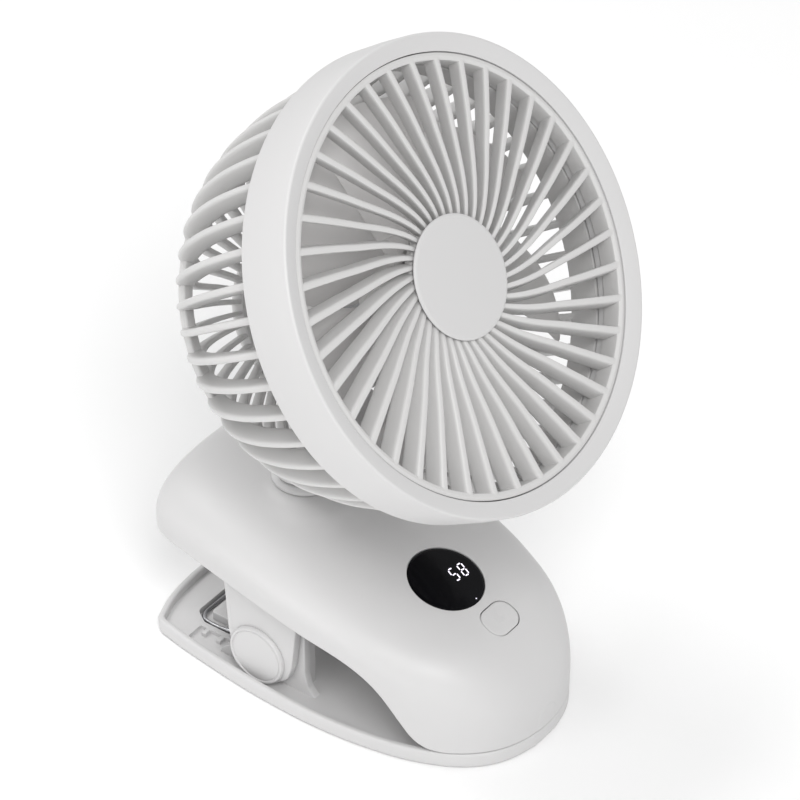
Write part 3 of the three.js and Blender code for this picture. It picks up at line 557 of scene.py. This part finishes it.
def front_grille():
    f = Form()
    f.lathe([(HEAD["opening"], -2.65, 0.35), (68.6, -2.1, 0.5), (69.8, -2.4, 0.3), (69.8, -9.6, 0),
             (HEAD["opening"], -9.6, 0.4)], HEAD_FRAME, 240)
    f.lathe([(0, -10.6, 0), (18.7, -10.6, 0.5), (18.7, -7.2, 0.6), (0, -7.2, 0)], HEAD_FRAME, 96)
    for i in range(HEAD["front_ribs"]):
        front_rib(f, i)
    simple("spiral_grille", f, "head", cage_white, "shell_white", "front_grille")


def grille_cap():
    f = Form()
    r = HEAD["cap"]
    f.lathe([(0, -11.4, 0), (2.2, -11.4, 0.2), (2.9, -10.9, 0.2), (2.7, -5.5, 0), (r - 0.8, -5.5, 0.2),
             (r, -5.1, 0.25), (r, -4.6, 0.35), (r - 0.9, -4.25, 0.8), (0, -4.05, 0)], HEAD_FRAME, 160)
    simple("cap", f, "head", white, "shell_white", "grille_cap")


def rear_rib(f, index):
    start = 6.64 + index * 360 / HEAD["rear_ribs"]
    rows = spline(REAR_RIB, 40)
    grad = np.gradient(rows[:, :2], axis=0)
    rings = []
    for (r, d, w, depth, turn), (dr, dd) in zip(rows, grad):
        length = math.hypot(dr, dd)
        inward = (-dd / length, dr / length)
        a = (start + turn) * DEG
        ring = []
        for k in range(16):
            b = 2 * math.pi * (k + 0.5) / 16
            s = math.copysign(abs(math.cos(b)) ** 0.6, math.cos(b)) * w * 0.45
            v = (1 - math.copysign(abs(math.sin(b)) ** 0.35, math.sin(b))) / 2 * depth
            rr = r + inward[0] * v
            z = -(d + inward[1] * v)
            ring.append((rr * math.sin(a) + s * math.cos(a), rr * math.cos(a) - s * math.sin(a), z))
        rings.append(ring)
    f.skin(rings, HEAD_FRAME)


def around(angle, r):
    """Head frame moved to a place at an angle from the top and a distance from the axis."""
    return shifted(HEAD_FRAME, r * math.sin(angle * DEG), r * math.cos(angle * DEG), 0)


def cage():
    f = Form()
    f.lathe([(67.6, -13, 0), (73.1, -13, 0), (73.1, -20.2, 0.4), (70.9, -20.9, 0.4), (70.6, -24.6, 0.6),
             (67.6, -24.6, 0.6)], HEAD_FRAME, 220)
    f.lathe([(48.8, -75, 0.6), (52.9, -75, 0.8), (52.4, -78.4, 0.8), (49.4, -78.9, 0.8)], HEAD_FRAME, 160)
    f.lathe([(0, -83.6, 0), (18.4, -83.6, 1), (20.4, -80, 1), (24.6, -80, 0.5), (24.6, -85.2, 0.8),
             (23.4, -86, 1.2), (0, -86, 0)], HEAD_FRAME, 120)
    for i in range(HEAD["rear_ribs"]):
        rear_rib(f, i)
    for a in MOTOR["screw_angles"]:
        f.lathe([(1.35, -83, 0), (3.3, -83, 0), (3.3, -57.2, 0.4), (1.35, -57.2, 0)],
                around(a, MOTOR["screw"]), 24)
    simple("cage_ribs", f, "head", cage_white, "shell_white", "rear_cage")


def chin():
    """Cheeks that hold the tilt axle and sweep up into the lowest ribs."""
    y, z = NECK["axle"]
    outline = arc(y, z, NECK["cheek"], 0, -118, 24) + [
        (-2, 79.2), (-17, 86), (-20, 96), (6, 104), (14.5, 99.5), (30, 86), (y + 8, z + 3.5)]
    corners = rounded([(a, b, 3) for a, b in outline[25:]], False)
    f = Form().prism(outline[:25] + corners, -11.5, 11.5, ALONG_X, 2.2, 5)
    obj = loose("chin", f)
    clear = Form().lathe([(0, 5, 0), (66.6, 5, 0), (66.6, -27, 6), (63.6, -42, 20), (60, -54, 20),
                          (54, -68, 12), (47.5, -76, 3), (43, -78.6, 1), (0, -79.4, 0)], HEAD_FRAME, 128)
    combine(obj, loose("clear", clear))
    slot = Form().prism(arc(y, z, 9.4, -90, 90, 24) + [(y - 11, z + 9.4), (y - 11, z - 9.4)],
                        -5, 5, ALONG_X, 0.3)
    combine(obj, loose("slot", slot))
    bore = Form().lathe([(0, -20, 0), (2.8, -20, 0), (2.8, 20, 0), (0, 20, 0)], AXLE_FRAME, 48)
    combine(obj, loose("bore", bore))
    piece(obj, "head", white, "shell_white")


def axle():
    f = Form()
    f.lathe([(0, -11.2, 0), (2.5, -11.2, 0.4), (2.5, 11.9, 0), (4.2, 11.9, 0.2), (4.2, 13.1, 0.5),
             (0, 13.1, 0)], AXLE_FRAME, 64)
    simple("axle", f, "head", steel, "steel", "tilt_axle")


def motor():
    f = Form()
    f.lathe([(4.6, -56.9, 0), (MOTOR["plate"], -56.9, 0.4), (MOTOR["plate"], -54.2, 0.5), (4.6, -54.2, 0.2)],
            HEAD_FRAME, 128)
    simple("plate", f, "head", white, "shell_white", "motor_plate")
    f = Form()
    r = MOTOR["r"]
    f.lathe([(2, -53.6, 0), (r - 0.8, -53.6, 0.4), (r, -52.8, 0.5), (r, -41.4, 1.2), (17, -39.6, 1.5),
             (12.4, -34.2, 1), (11.6, -24.6, 0.5), (5, -24, 0.3), (5, -26.6, 0), (2, -26.6, 0)],
            HEAD_FRAME, 96)
    simple("motor", f, "head", motor_metal, "motor_metal", "motor_can")
    f = Form()
    f.lathe([(0, -58.4, 0), (4.2, -58.4, 0.6), (4.2, -53.9, 0.1), (2.2, -53.9, 0), (2.2, -56.8, 0),
             (0, -56.8, 0)], HEAD_FRAME, 64)
    simple("end_cap", f, "head", dark_metal, "dark_metal", "motor_end_cap")
    f = Form()
    f.lathe([(2, -26.3, 0.2), (4.7, -26.3, 0.2), (4.7, -23.4, 0.3), (2, -23.4, 0.2)], HEAD_FRAME, 64)
    simple("bearing", f, "head", brass, "brass", "motor_bearing")


# ---------------------------------------------------------------- rotor
def fan_blade(f, index):
    """One swept, twisted and cambered blade."""
    rings = []
    root = FAN["hub"] - 1.3
    for u in np.linspace(0, 1, 30):
        v = max(u, 0.012)
        r = root + (FAN["tip"] - root) * u
        chord = 19 + 29 * math.sin(v * 1.7)
        edge = max(0.0, (u - 0.9) / 0.1)
        chord *= 1 - 0.12 * edge ** 3
        pitch = (43 - 17 * u) * DEG
        sweep = (index * 360 / FAN["blades"] + 15 * u * u) * DEG
        thick = FAN["thick"] * (1 - 0.35 * u)
        ring = []
        for k in range(36):
            a = 2 * math.pi * k / 36
            s = 0.5 * math.copysign(abs(math.cos(a)) ** 0.9, math.cos(a))
            off = thick * 0.5 * math.copysign(abs(math.sin(a)) ** 0.55, math.sin(a))
            camber = 0.09 * chord * (1 - 4 * s * s)
            p = s * chord * math.cos(pitch) - camber * math.sin(pitch) - off * math.sin(pitch)
            z = s * chord * math.sin(pitch) + camber * math.cos(pitch) + off * math.cos(pitch)
            ang = sweep + p / r
            ring.append((r * math.sin(ang), r * math.cos(ang), -FAN["mid"] + z))
        rings.append(ring)
    f.skin(rings, HEAD_FRAME)


def impeller():
    f = Form()
    hub = FAN["hub"]
    f.lathe([(0, -15.2, 0), (hub - 1.2, -15.2, 0.6), (hub, -16.6, 1), (hub, -33.8, 0.4),
             (hub - 2.4, -33.8, 0.4), (hub - 2.6, -18.2, 0), (4.6, -18.2, 0), (4.6, -22.6, 0.3),
             (0, -22.6, 0)], HEAD_FRAME, 128)
    for i in range(FAN["blades"]):
        fan_blade(f, i)
    simple("fan_blades", f, "rotor", blade_white, "impeller_white", "impeller")
    f = Form()
    f.lathe([(0, -14.9, 0), (15, -14.9, 0.2), (15.2, -14.2, 0.5), (13.4, -12.6, 1.5), (0, -11.7, 0)],
            HEAD_FRAME, 96)
    simple("spin_cap", f, "rotor", dark_metal, "dark_metal", "spinner")
    f = Form()
    r = MOTOR["shaft"]
    f.lathe([(0, -53, 0), (r, -53, 0.3), (r, -17, 0.2), (0, -17, 0)], HEAD_FRAME, 40)
    simple("shaft", f, "rotor", steel, "steel", "motor_shaft")


# ---------------------------------------------------------------- neck
def neck():
    f = Form()
    z, r = NECK["z"], NECK["r"]
    f.lathe([(0, 58.4, 0), (7.2, 58.4, 0.3), (7.2, z + 0.3, 0), (r - 0.4, z + 0.3, 0.1),
             (r - 0.3, z + 1.4, 0.4), (r - 1.7, z + 2.6, 1.2), (0, z + 2.9, 0)], NECK_FRAME, 128)
    y, h = NECK["axle"]
    outline = arc(y, h, 7.2, -8, 188, 30) + [(y - 7, z + 1.5), (y + 7, z + 1.5)]
    f.prism(outline, -3.9, 3.9, ALONG_X, 0.5)
    simple("knuckle", f, "neck", white, "shell_white", "neck_knuckle")
    for side, node in ((-4.45, "tilt_washer_left"), (4.45, "tilt_washer_right")):
        w = Form().lathe([(2.8, -0.25, 0), (6.2, -0.25, 0.1), (6.2, 0.25, 0.1), (2.8, 0.25, 0)],
                         shifted(AXLE_FRAME, z=side), 64)
        simple(node.replace("tilt_", ""), w, "neck", brass, "brass", node)


# ---------------------------------------------------------------- upper body
def body_row(t):
    """Half width, top, widest height and roundness of the body at y."""
    return [table(BODY, c, t) for c in (1, 2, 3, 4)]


def crown(x, y):
    """Height of the body's outer skin over a point."""
    w, top, wide, n = body_row(y)
    u = min(abs(x) / w, 1)
    return wide + (top - wide) * (1 - u ** n) ** (1 / n)


def pedestal(x, y, z):
    """Lifts the skin smoothly into the round seat under the neck, up to the neck's own height."""
    rho = math.hypot(x, y - NECK["y"])
    if rho > 30 or z > NECK["z"]:
        return z
    foot, height = PEDESTAL[0]
    seat = table(PEDESTAL, 1, rho) if rho < foot else height - (rho - foot) * 0.6
    blend = 0.55
    lifted = z + blend * math.log1p(math.exp(min((seat - z) / blend, 40)))
    return min(lifted, NECK["z"])


def half_ring(y, w, top, wide, n, low, shrink):
    """Right edge, up the side, over the top and down the left edge."""
    w, top = max(w - shrink, 0), max(top - shrink, wide - 1)
    tuck = min(0.035 * (wide - 3), 1.6) * min(1, w / 5)
    pts = []
    for u in np.linspace(0, 1, 15)[:-1]:
        z = low + (wide - low) * u
        x = w - tuck * (wide - z) / max(wide - 3, 1)
        pts.append((x, y, z))
    for a in np.linspace(0, math.pi, 110):
        c, s = math.cos(a), math.sin(a)
        x = math.copysign(w * abs(c) ** (2 / n), c)
        pts.append((x, y, wide + (top - wide) * abs(s) ** (2 / n)))
    return pts + [(-x, yy, z) for x, yy, z in pts[:14]][::-1]


def body_stations():
    rows = [tuple(r) for r in spline(BODY, 200, 3)]
    y, w, top, wide, n = BODY[-1]
    nose = [(y - 0.28 * math.sin(a), w * math.cos(a), top - 3.2 * (1 - math.cos(a)), wide, n)
            for a in np.linspace(0, math.pi / 2, 8)[1:]]
    y, w, top, wide, n = BODY[0]
    rear = [(y + 0.5 * math.sin(a), w * math.cos(a), top - 4.5 * (1 - math.cos(a)), wide, n)
            for a in np.linspace(0, math.pi / 2, 10)[1:]]
    return rear[::-1] + rows + nose


def upper_shell():
    rings = []
    for y, w, top, wide, n in body_stations():
        low = table(SKIRT, 1, y)
        outer = [(x, yy, pedestal(x, yy, z) if z > 55 else z)
                 for x, yy, z in half_ring(y, w, top, wide, n, low, 0)]
        inner = half_ring(y * (1 - WALL / 71), w, top, wide, n, low, WALL)[::-1]
        rings.append(outer + inner)
    obj = loose("body_shell", Form().skin(rings))
    window = SCREEN["r"] + 0.22
    cutters = [
        Form().lathe([(0, -1.95, 0), (window, -1.95, 0), (window, 12, 0), (0, 12, 0)], SCREEN_FRAME, 128),
        Form().prism(key_outline(0.25), -6, 12, KEY_FRAME, 0.01, 1),
        Form().lathe([(0, 50, 0), (7.5, 50, 0), (7.5, 80, 0), (0, 80, 0)], NECK_FRAME, 64),
        Form().prism(stadium(*PORT["half"], 16), 60, 80, PORT_FRAME, 0.01, 1)]
    for c in cutters:
        combine(obj, loose("cutter", c), sharp=32)
    piece(obj, "body", white, "shell_white", "upper_shell")


def display():
    r = SCREEN["r"]
    f = Form().lathe([(0, -1.65, 0), (r, -1.65, 0.1), (r, -0.35, 0.3), (r - 0.8, -0.14, 0.6), (0, -0.1, 0)],
                     SCREEN_FRAME, 160)
    simple("lens", f, "body", lens_black, "black_gloss", "display_lens")


SEGMENTS = {"5": "afgcd", "8": "abcdefg"}
SEGMENT_PLACES = {"a": (0, 1, 0), "g": (0, 0, 0), "d": (0, -1, 0), "f": (-1, 0.5, 1), "b": (1, 0.5, 1),
                  "e": (-1, -0.5, 1), "c": (1, -0.5, 1)}


def digits():
    """Two seven-segment figures and a charge light just over the lens."""
    wide, tall = FIGURE["wide"], FIGURE["tall"]
    f = Form()
    turn = FIGURE["turn"] * DEG
    m = SCREEN_FRAME @ basis((math.cos(turn), math.sin(turn), 0), (-math.sin(turn), math.cos(turn), 0),
                             (0, 0, 1), FIGURE["at"])
    for place, figure in ((-2.0, "5"), (2.0, "8")):
        for s in SEGMENTS[figure]:
            sx, sy, upright = SEGMENT_PLACES[s]
            end = ((tall / 2 if upright else wide) - FIGURE["gap"]) / 2
            tip = FIGURE["bar"] / 2 * 0.9
            shape = [(-end, tip), (-end - 0.2, 0), (-end, -tip), (end, -tip), (end + 0.2, 0), (end, tip)]
            if upright:
                shape = [(-b, a) for a, b in shape]
            cx, cy = place + sx * wide / 2, sy * tall / 2
            shape = [(a + cx + FIGURE["lean"] * (b + cy), b + cy) for a, b in shape]
            f.prism(shape, 0, 0.05, m, 0.015, 1)
    f.lathe([(0, 0.0, 0), (0.22, 0.0, 0), (0.2, 0.05, 0), (0, 0.06, 0)],
            shifted(SCREEN_FRAME, 1.3, -11.9, -0.14), 24)
    simple("figures", f, "body", glow, "black_gloss")


def key_outline(grow):
    hx, hy = KEY["half"][0] + grow, KEY["half"][1] + grow
    r = KEY["corner"] + grow
    return rounded([(hx, -hy, r), (hx, hy, r), (-hx, hy, r), (-hx, -hy, r)], True, 14)


def key_point(px, py):
    """Height over the key frame at which the body's skin lies."""
    h = 0.0
    for _ in range(6):
        p = KEY_FRAME @ np.array((px, py, h, 1))
        h += (crown(p[0], p[1]) - p[2]) * math.cos(KEY["slope"] * DEG)
    return h


def button():
    outline = np.array(key_outline(0))
    hx, hy = KEY["half"]
    rings = []
    for depth, inset in ((-4.3, -1.1), (-3.5, -1.1), (-3.3, -0.9), (-3.3, 0)):
        rings.append([(x * (1 - inset / hx), y * (1 - inset / hy), depth) for x, y in outline])
    for k in range(6):
        a = math.pi / 2 * k / 5
        inset = 0.45 * (1 - math.cos(a))
        drop = 0.45 * (1 - math.sin(a))
        rings.append([(x * (1 - inset / hx), y * (1 - inset / hy), key_point(x, y) - drop)
                      for x, y in outline])
    for share in (0.8, 0.6, 0.4, 0.2, 0.02):
        rings.append([(x * share, y * share, key_point(x * share, y * share) - 0.12 * (1 - share ** 2))
                      for x, y in outline])
    f = Form().skin(rings, KEY_FRAME)
    f.lathe([(0, -5.3, 0), (1.6, -5.3, 0.2), (1.6, -3.5, 0), (0, -3.5, 0)],
            shifted(KEY_FRAME, -KEY["at"][0]), 40)
    simple("key", f, "button", white, "shell_white", "power_button", sharp=50)
    mark = Form()
    bend = np.linspace(35 * DEG, 325 * DEG, 40)
    for points in ([(1.55 * math.sin(a), 1.55 * math.cos(a)) for a in bend],
                   [(0, 0.35), (0, 1.0), (0, 2.0)]):
        sweep(mark, [(x, y, key_point(x, y) - 0.22) for x, y in points], 0.16, KEY_FRAME, 10)
    simple("key_mark", mark, "button", white, "shell_white")


def sweep(f, path, r, m=IDENTITY, sides=12):
    """Round bar along points, with its frame carried along."""
    p = np.asarray(path, float)
    t = np.gradient(p, axis=0)
    t /= np.linalg.norm(t, axis=1)[:, None]
    side = np.array((0, 0, 1.0)) if abs(t[0][2]) < 0.9 else np.array((1.0, 0, 0))
    rings = []
    turns = [2 * math.pi * k / sides for k in range(sides)]
    for point, d in zip(p, t):
        side = side - d * (side @ d)
        side /= np.linalg.norm(side)
        up = np.cross(d, side)
        rings.append([point + side * r * math.cos(a) + up * r * math.sin(a) for a in turns])
    f.skin(rings, m)


def pivot_caps():
    """Hinge covers: a raised rim round a shallow dish, on broad ears."""
    y, z, ear_r, r = PIVOT["y"], PIVOT["z"], PIVOT["ear"], PIVOT["cap"]
    outline = rounded([(y + 12.9, 46, 0), (y + 11.8, 28, 4), (y + ear_r, 18, 3)], False) \
        + arc(y, z, ear_r, 0, -122, 30) \
        + rounded([(14, 4.6, 0), (9.6, 8.2, 4), (7.6, 13.5, 4), (5.6, 30, 6), (4.4, 46, 0)], False, 8)
    for side, name in ((-1, "left"), (1, "right")):
        low, high = sorted((side * 32.3, side * 35.75))
        ear = Form().prism(outline, low, high, ALONG_X, 0.5)
        simple("ear_" + name, ear, "body", white, "shell_white")
        m = basis((0, side, 0), (0, 0, 1), (side, 0, 0), (side * 35.8, y, z))
        f = Form().lathe([(0, 0, 0), (r, 0, 0), (r, 0.7, 0.4), (r - 0.4, 1.55, 0.4), (r - 1.1, 1.55, 0.2),
                          (r - 1.3, 1.05, 0.1), (r - 1.55, 1.05, 0.1), (r - 1.75, 1.3, 0.15),
                          (0, 1.35, 0)], m, 160)
        simple("cover_" + name, f, "body", white, "shell_white", "pivot_cap_" + name)


# ---------------------------------------------------------------- lower jaw
def jaw_outline(inset=0.0):
    """The tray's plan from its rear middle round to the nose and back, moved in by the inset."""
    half = spline([(w, y) for y, w in JAW_PLAN], 120)
    nose = [(6.5 * math.cos(a), -70.7 - 0.3 * math.sin(a)) for a in np.linspace(0, math.pi / 2, 9)[1:-1]]
    right = [tuple(p) for p in half] + nose
    ring = np.array(right + [(-x, y) for x, y in right[::-1]])
    t = np.roll(ring, -1, 0) - np.roll(ring, 1, 0)
    t /= np.linalg.norm(t, axis=1)[:, None]
    n = np.stack([t[:, 1], -t[:, 0]], 1)
    return ring + n * inset


def jaw_ring(inset, z):
    return [(x, y, z) for x, y in jaw_outline(inset)]


def box(f, x0, x1, y0, y1, z0, z1, bevel=0.3):
    f.prism([(x0, y0), (x1, y0), (x1, y1), (x0, y1)], z0, z1, IDENTITY, bevel)


def lower_jaw():
    rim, wall, floor, shelf_z = JAW["rim"], JAW["wall"], JAW["floor"], JAW["shelf"]
    steps = [(1.5, 0), (1.15, 0.08), (0.75, 0.3), (0.45, 0.65), (0.2, 1.1), (0.04, 1.7), (0, 2.6),
             (0, rim - 0.9), (0.1, rim - 0.45), (0.35, rim - 0.12), (0.7, rim), (wall - 0.65, rim),
             (wall - 0.35, rim - 0.12), (wall - 0.12, rim - 0.4), (wall, rim - 0.9), (wall, floor + 1),
             (wall + 0.15, floor + 0.4), (wall + 0.5, floor + 0.08), (wall + 0.9, floor)]
    obj = loose("jaw_tray", Form().skin([jaw_ring(inset, z) for inset, z in steps]))
    rear = [p for p in jaw_outline(0.9) if p[1] > 30]
    shelf = loose("shelf", Form().prism(rear, 1, shelf_z, IDENTITY, 0.01, 1))
    pocket = rounded([(-24.5, 27, 0), (-24.5, 54, 2), (-21, 59.5, 3), (21, 59.5, 3), (24.5, 54, 2),
                      (24.5, 27, 0)])
    for x0, x1 in ((-60, -26.6), (26.6, 60)):
        bay = Form()
        box(bay, x0, x1, 20, JAW["bay_rear"], floor, 12, 0.01)
        combine(shelf, loose("bay", bay))
    combine(obj, shelf, "UNION")
    combine(obj, loose("pocket", Form().prism(pocket, JAW["pocket_floor"], 12, IDENTITY, 0.01, 1)))
    piece(obj, "jaw", white, "shell_white", "lower_jaw")
    jaw_fittings()


def jaw_fittings():
    """Block in the spring pocket, and the hinge brackets with their flared feet and ribs."""
    y, z = PIVOT["y"], PIVOT["z"]
    island = Form().prism(rounded([(-19.6, 30, 1), (19.6, 30, 1), (19.6, 55, 1.2), (-19.6, 55, 1.2)]),
                          0.6, 4.2, IDENTITY, 0.3)
    simple("spring_block", island, "jaw", white, "shell_white")
    front = rounded([(0.2, 1.2, 0), (1.4, 2.2, 2), (3.6, 4.8, 4), (5, 9.5, 7), (5, 27, 1.5), (15, 27, 3)],
                    False, 6)
    back = rounded([(y + 12.6, 9, 3), (y + 19, 4, 4), (y + 20, 1.2, 0)], False, 6)
    outline = front + arc(y, z, BRACKET["round"], 96, 12, 24) + back
    for side, name in ((-1, "left"), (1, "right")):
        f = Form()
        low, high = sorted((BRACKET["inner"] * side, BRACKET["outer"] * side))
        f.prism(outline, low, high, ALONG_X, 0.4)
        inner, outer = sorted((side * BRACKET["rib"], side * (BRACKET["inner"] + 0.4)))
        box(f, inner, outer, 6.4, 8.4, 1.5, BRACKET["rib_top"])
        for yy in (y + 10, y + 15.5, 43.4, 49.8):
            x0, x1 = sorted((side * 25.6, side * 29.4))
            box(f, x0, x1, yy, yy + 1.6, 1.5, 3.25, 0.2)
        simple("bracket_" + name, f, "jaw", white, "shell_white")


def grip_pad():
    """Ribbed rubber pad under the nose."""
    edge = jaw_outline(PAD["inset"])
    f = Form().prism([p for p in edge if PAD["front"] < p[1] < PAD["rear"]], 2.15, 3.6, IDENTITY, 0.3)
    for y in np.arange(PAD["front"] + 1.4, PAD["rear"] - 0.5, 2.6):
        half = min(abs(p[0]) for p in edge if abs(p[1] - y) < 1.2) - 0.4
        box(f, -half, half, y - 0.8, y + 0.8, 3.3, 4.6, 0.35)
    simple("grip_pad", f, "jaw", rubber, "rubber", "jaw_pad")


# ---------------------------------------------------------------- spring and pin
def clip_spring():
    """One wire: two coils on the sleeve, joined by a bow that rests in the jaw's pocket."""
    cy, cz, radius, steps = PIVOT["y"], PIVOT["z"], SPRING["coil"], 150
    half = [(SPRING["leg_x"], 50 - 16 * k / 12, 42.8 - 14.4 * k / 12) for k in range(12)]
    for i in range(steps + 1):
        a = SPRING["start"] * DEG + 2 * math.pi * SPRING["turns"] * i / steps
        half.append((SPRING["coil_x"] + SPRING["coil_length"] * i / steps,
                     cy + radius * math.cos(a), cz + radius * math.sin(a)))
    bend = [(-22, 40, 3.2), (-22.6, 53, 1.9), (-22, 56.2, 1.8), (-19.4, 57.9, 1.8), (-15, 58.1, 1.8)]
    half += [tuple(p) for p in spline([half[-1]] + bend, 30, 3)[1:]]
    f = Form()
    sweep(f, half + [(-x, y, z) for x, y, z in half[::-1]], SPRING["wire"])
    wire = loose("spring_wire", f)
    wire.data.materials.append(steel)
    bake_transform(wire)
    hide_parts("clip_spring")


def charge_socket():
    obj = loose("socket", Form().prism(stadium(*PORT["socket"], 16), 61.5, 69.2, PORT_FRAME, 0.2))
    combine(obj, loose("mouth", Form().prism(stadium(*PORT["mouth"], 16), 63, 80, PORT_FRAME, 0.01, 1)))
    piece(obj, "body", steel, "steel", "charge_socket")


def pin_and_sleeve():
    r, end = PIVOT["pin"], PIVOT["pin_end"]
    f = Form().lathe([(0, -end, 0), (r, -end, 0.3), (r, end, 0.3), (0, end, 0)], PIVOT_FRAME, 64)
    simple("pin", f, "jaw", steel, "steel", "hinge_pin")
    bore, r, end = PIVOT["sleeve_bore"], PIVOT["sleeve"], PIVOT["sleeve_end"]
    f = Form().lathe([(bore, -end, 0.1), (r, -end, 0.2), (r, end, 0.2), (bore, end, 0.1)], PIVOT_FRAME, 64)
    simple("sleeve", f, "jaw", inner_white, "inner_white", "spring_sleeve")


# ---------------------------------------------------------------- stage
def look_from(at, right, up, back, lens):
    data = bpy.data.cameras.new("camera")
    data.lens = lens
    data.sensor_width = 36
    data.clip_end = 20
    cam = bpy.data.objects.new("camera", data)
    bpy.context.scene.collection.objects.link(cam)
    m = Matrix.Identity(4)
    for i, v in enumerate((right, up, back)):
        for j in range(3):
            m[j][i] = v[j]
    for j in range(3):
        m[j][3] = at[j] * MM
    cam.matrix_world = m
    bpy.context.scene.camera = cam


def camera():
    """The photograph's viewpoint, fitted to its circles."""
    az, el = -53.12 * DEG, 37.31 * DEG
    back = np.array((math.sin(az) * math.cos(el), -math.cos(az) * math.cos(el), math.sin(el)))
    right = np.array((math.cos(az), math.sin(az), 0))
    up = np.cross(back, right)
    distance, pixels_per_mm, aside, above = 1389.42, 2.96, 8.51, 85.73
    at = back * distance + right * aside + up * above
    look_from(at, right, up, back, 36 * pixels_per_mm * distance / 800)


def floor():
    mesh = bpy.data.meshes.new("floor")
    mesh.from_pydata([(-4, -4, 0), (4, -4, 0), (4, 4, 0), (-4, 4, 0)], [], [(0, 1, 2, 3)])
    obj = bpy.data.objects.new("floor", mesh)
    bpy.context.scene.collection.objects.link(obj)
    obj.location.z = -0.0002
    mat, bsdf = shader("floor_paper", (0.93, 0.93, 0.93), 0.9)
    tint(mat, bsdf, noise(mat, 3, 2), (0.985, 0.985, 0.985), (0.99, 0.99, 0.99))
    mesh.materials.append(mat)


def lamp(name, at, size, power):
    """A round lamp turned to the middle of the fan."""
    target = (0, 0, 0.11)
    data = bpy.data.lights.new(name, "AREA")
    data.shape = "DISK"
    data.size = size
    data.energy = power
    obj = bpy.data.objects.new(name, data)
    obj.location = at
    obj.rotation_euler = (Vector(target) - Vector(at)).to_track_quat("-Z", "Y").to_euler()
    bpy.context.scene.collection.objects.link(obj)


def world():
    """White where it is seen, also by reflection, and a softer light on the object."""
    w = bpy.data.worlds.new("studio")
    bpy.context.scene.world = w
    w.use_nodes = True
    nodes, links = w.node_tree.nodes, w.node_tree.links
    back = nodes["Background"]
    back.inputs["Color"].default_value = (1, 1, 1, 1)
    path = nodes.new("ShaderNodeLightPath")
    direct = nodes.new("ShaderNodeMath")
    direct.operation = "MAXIMUM"
    shown = nodes.new("ShaderNodeMath")
    shown.operation = "MAXIMUM"
    links.new(path.outputs["Is Camera Ray"], direct.inputs[0])
    links.new(path.outputs["Is Glossy Ray"], direct.inputs[1])
    links.new(direct.outputs[0], shown.inputs[0])
    links.new(path.outputs["Is Transmission Ray"], shown.inputs[1])
    level = nodes.new("ShaderNodeMapRange")
    level.inputs["To Min"].default_value = 0.48
    level.inputs["To Max"].default_value = 1.0
    links.new(shown.outputs[0], level.inputs["Value"])
    links.new(level.outputs["Result"], back.inputs["Strength"])


def stage():
    camera()
    floor()
    world()
    lamp("key", (-0.85, -1.0, 1.5), 0.9, 20)
    lamp("fill", (-1.5, 0.45, 0.6), 1.0, 4.5)
    lamp("top", (0.0, 0.9, 1.5), 0.9, 9)
    bpy.context.scene.view_settings.view_transform = "Standard"


# ---------------------------------------------------------------- everything
stage()
front_bezel()
front_grille()
grille_cap()
cage()
chin()
axle()
motor()
impeller()
neck()
upper_shell()
display()
digits()
button()
pivot_caps()
lower_jaw()
clip_spring()
charge_socket()
pin_and_sleeve()
refined("base_cover", "belly", "body", white, "shell_white")
grip_pad()
refined("nose_pad", "nose_grip", "body", rubber, "rubber", 0.25)
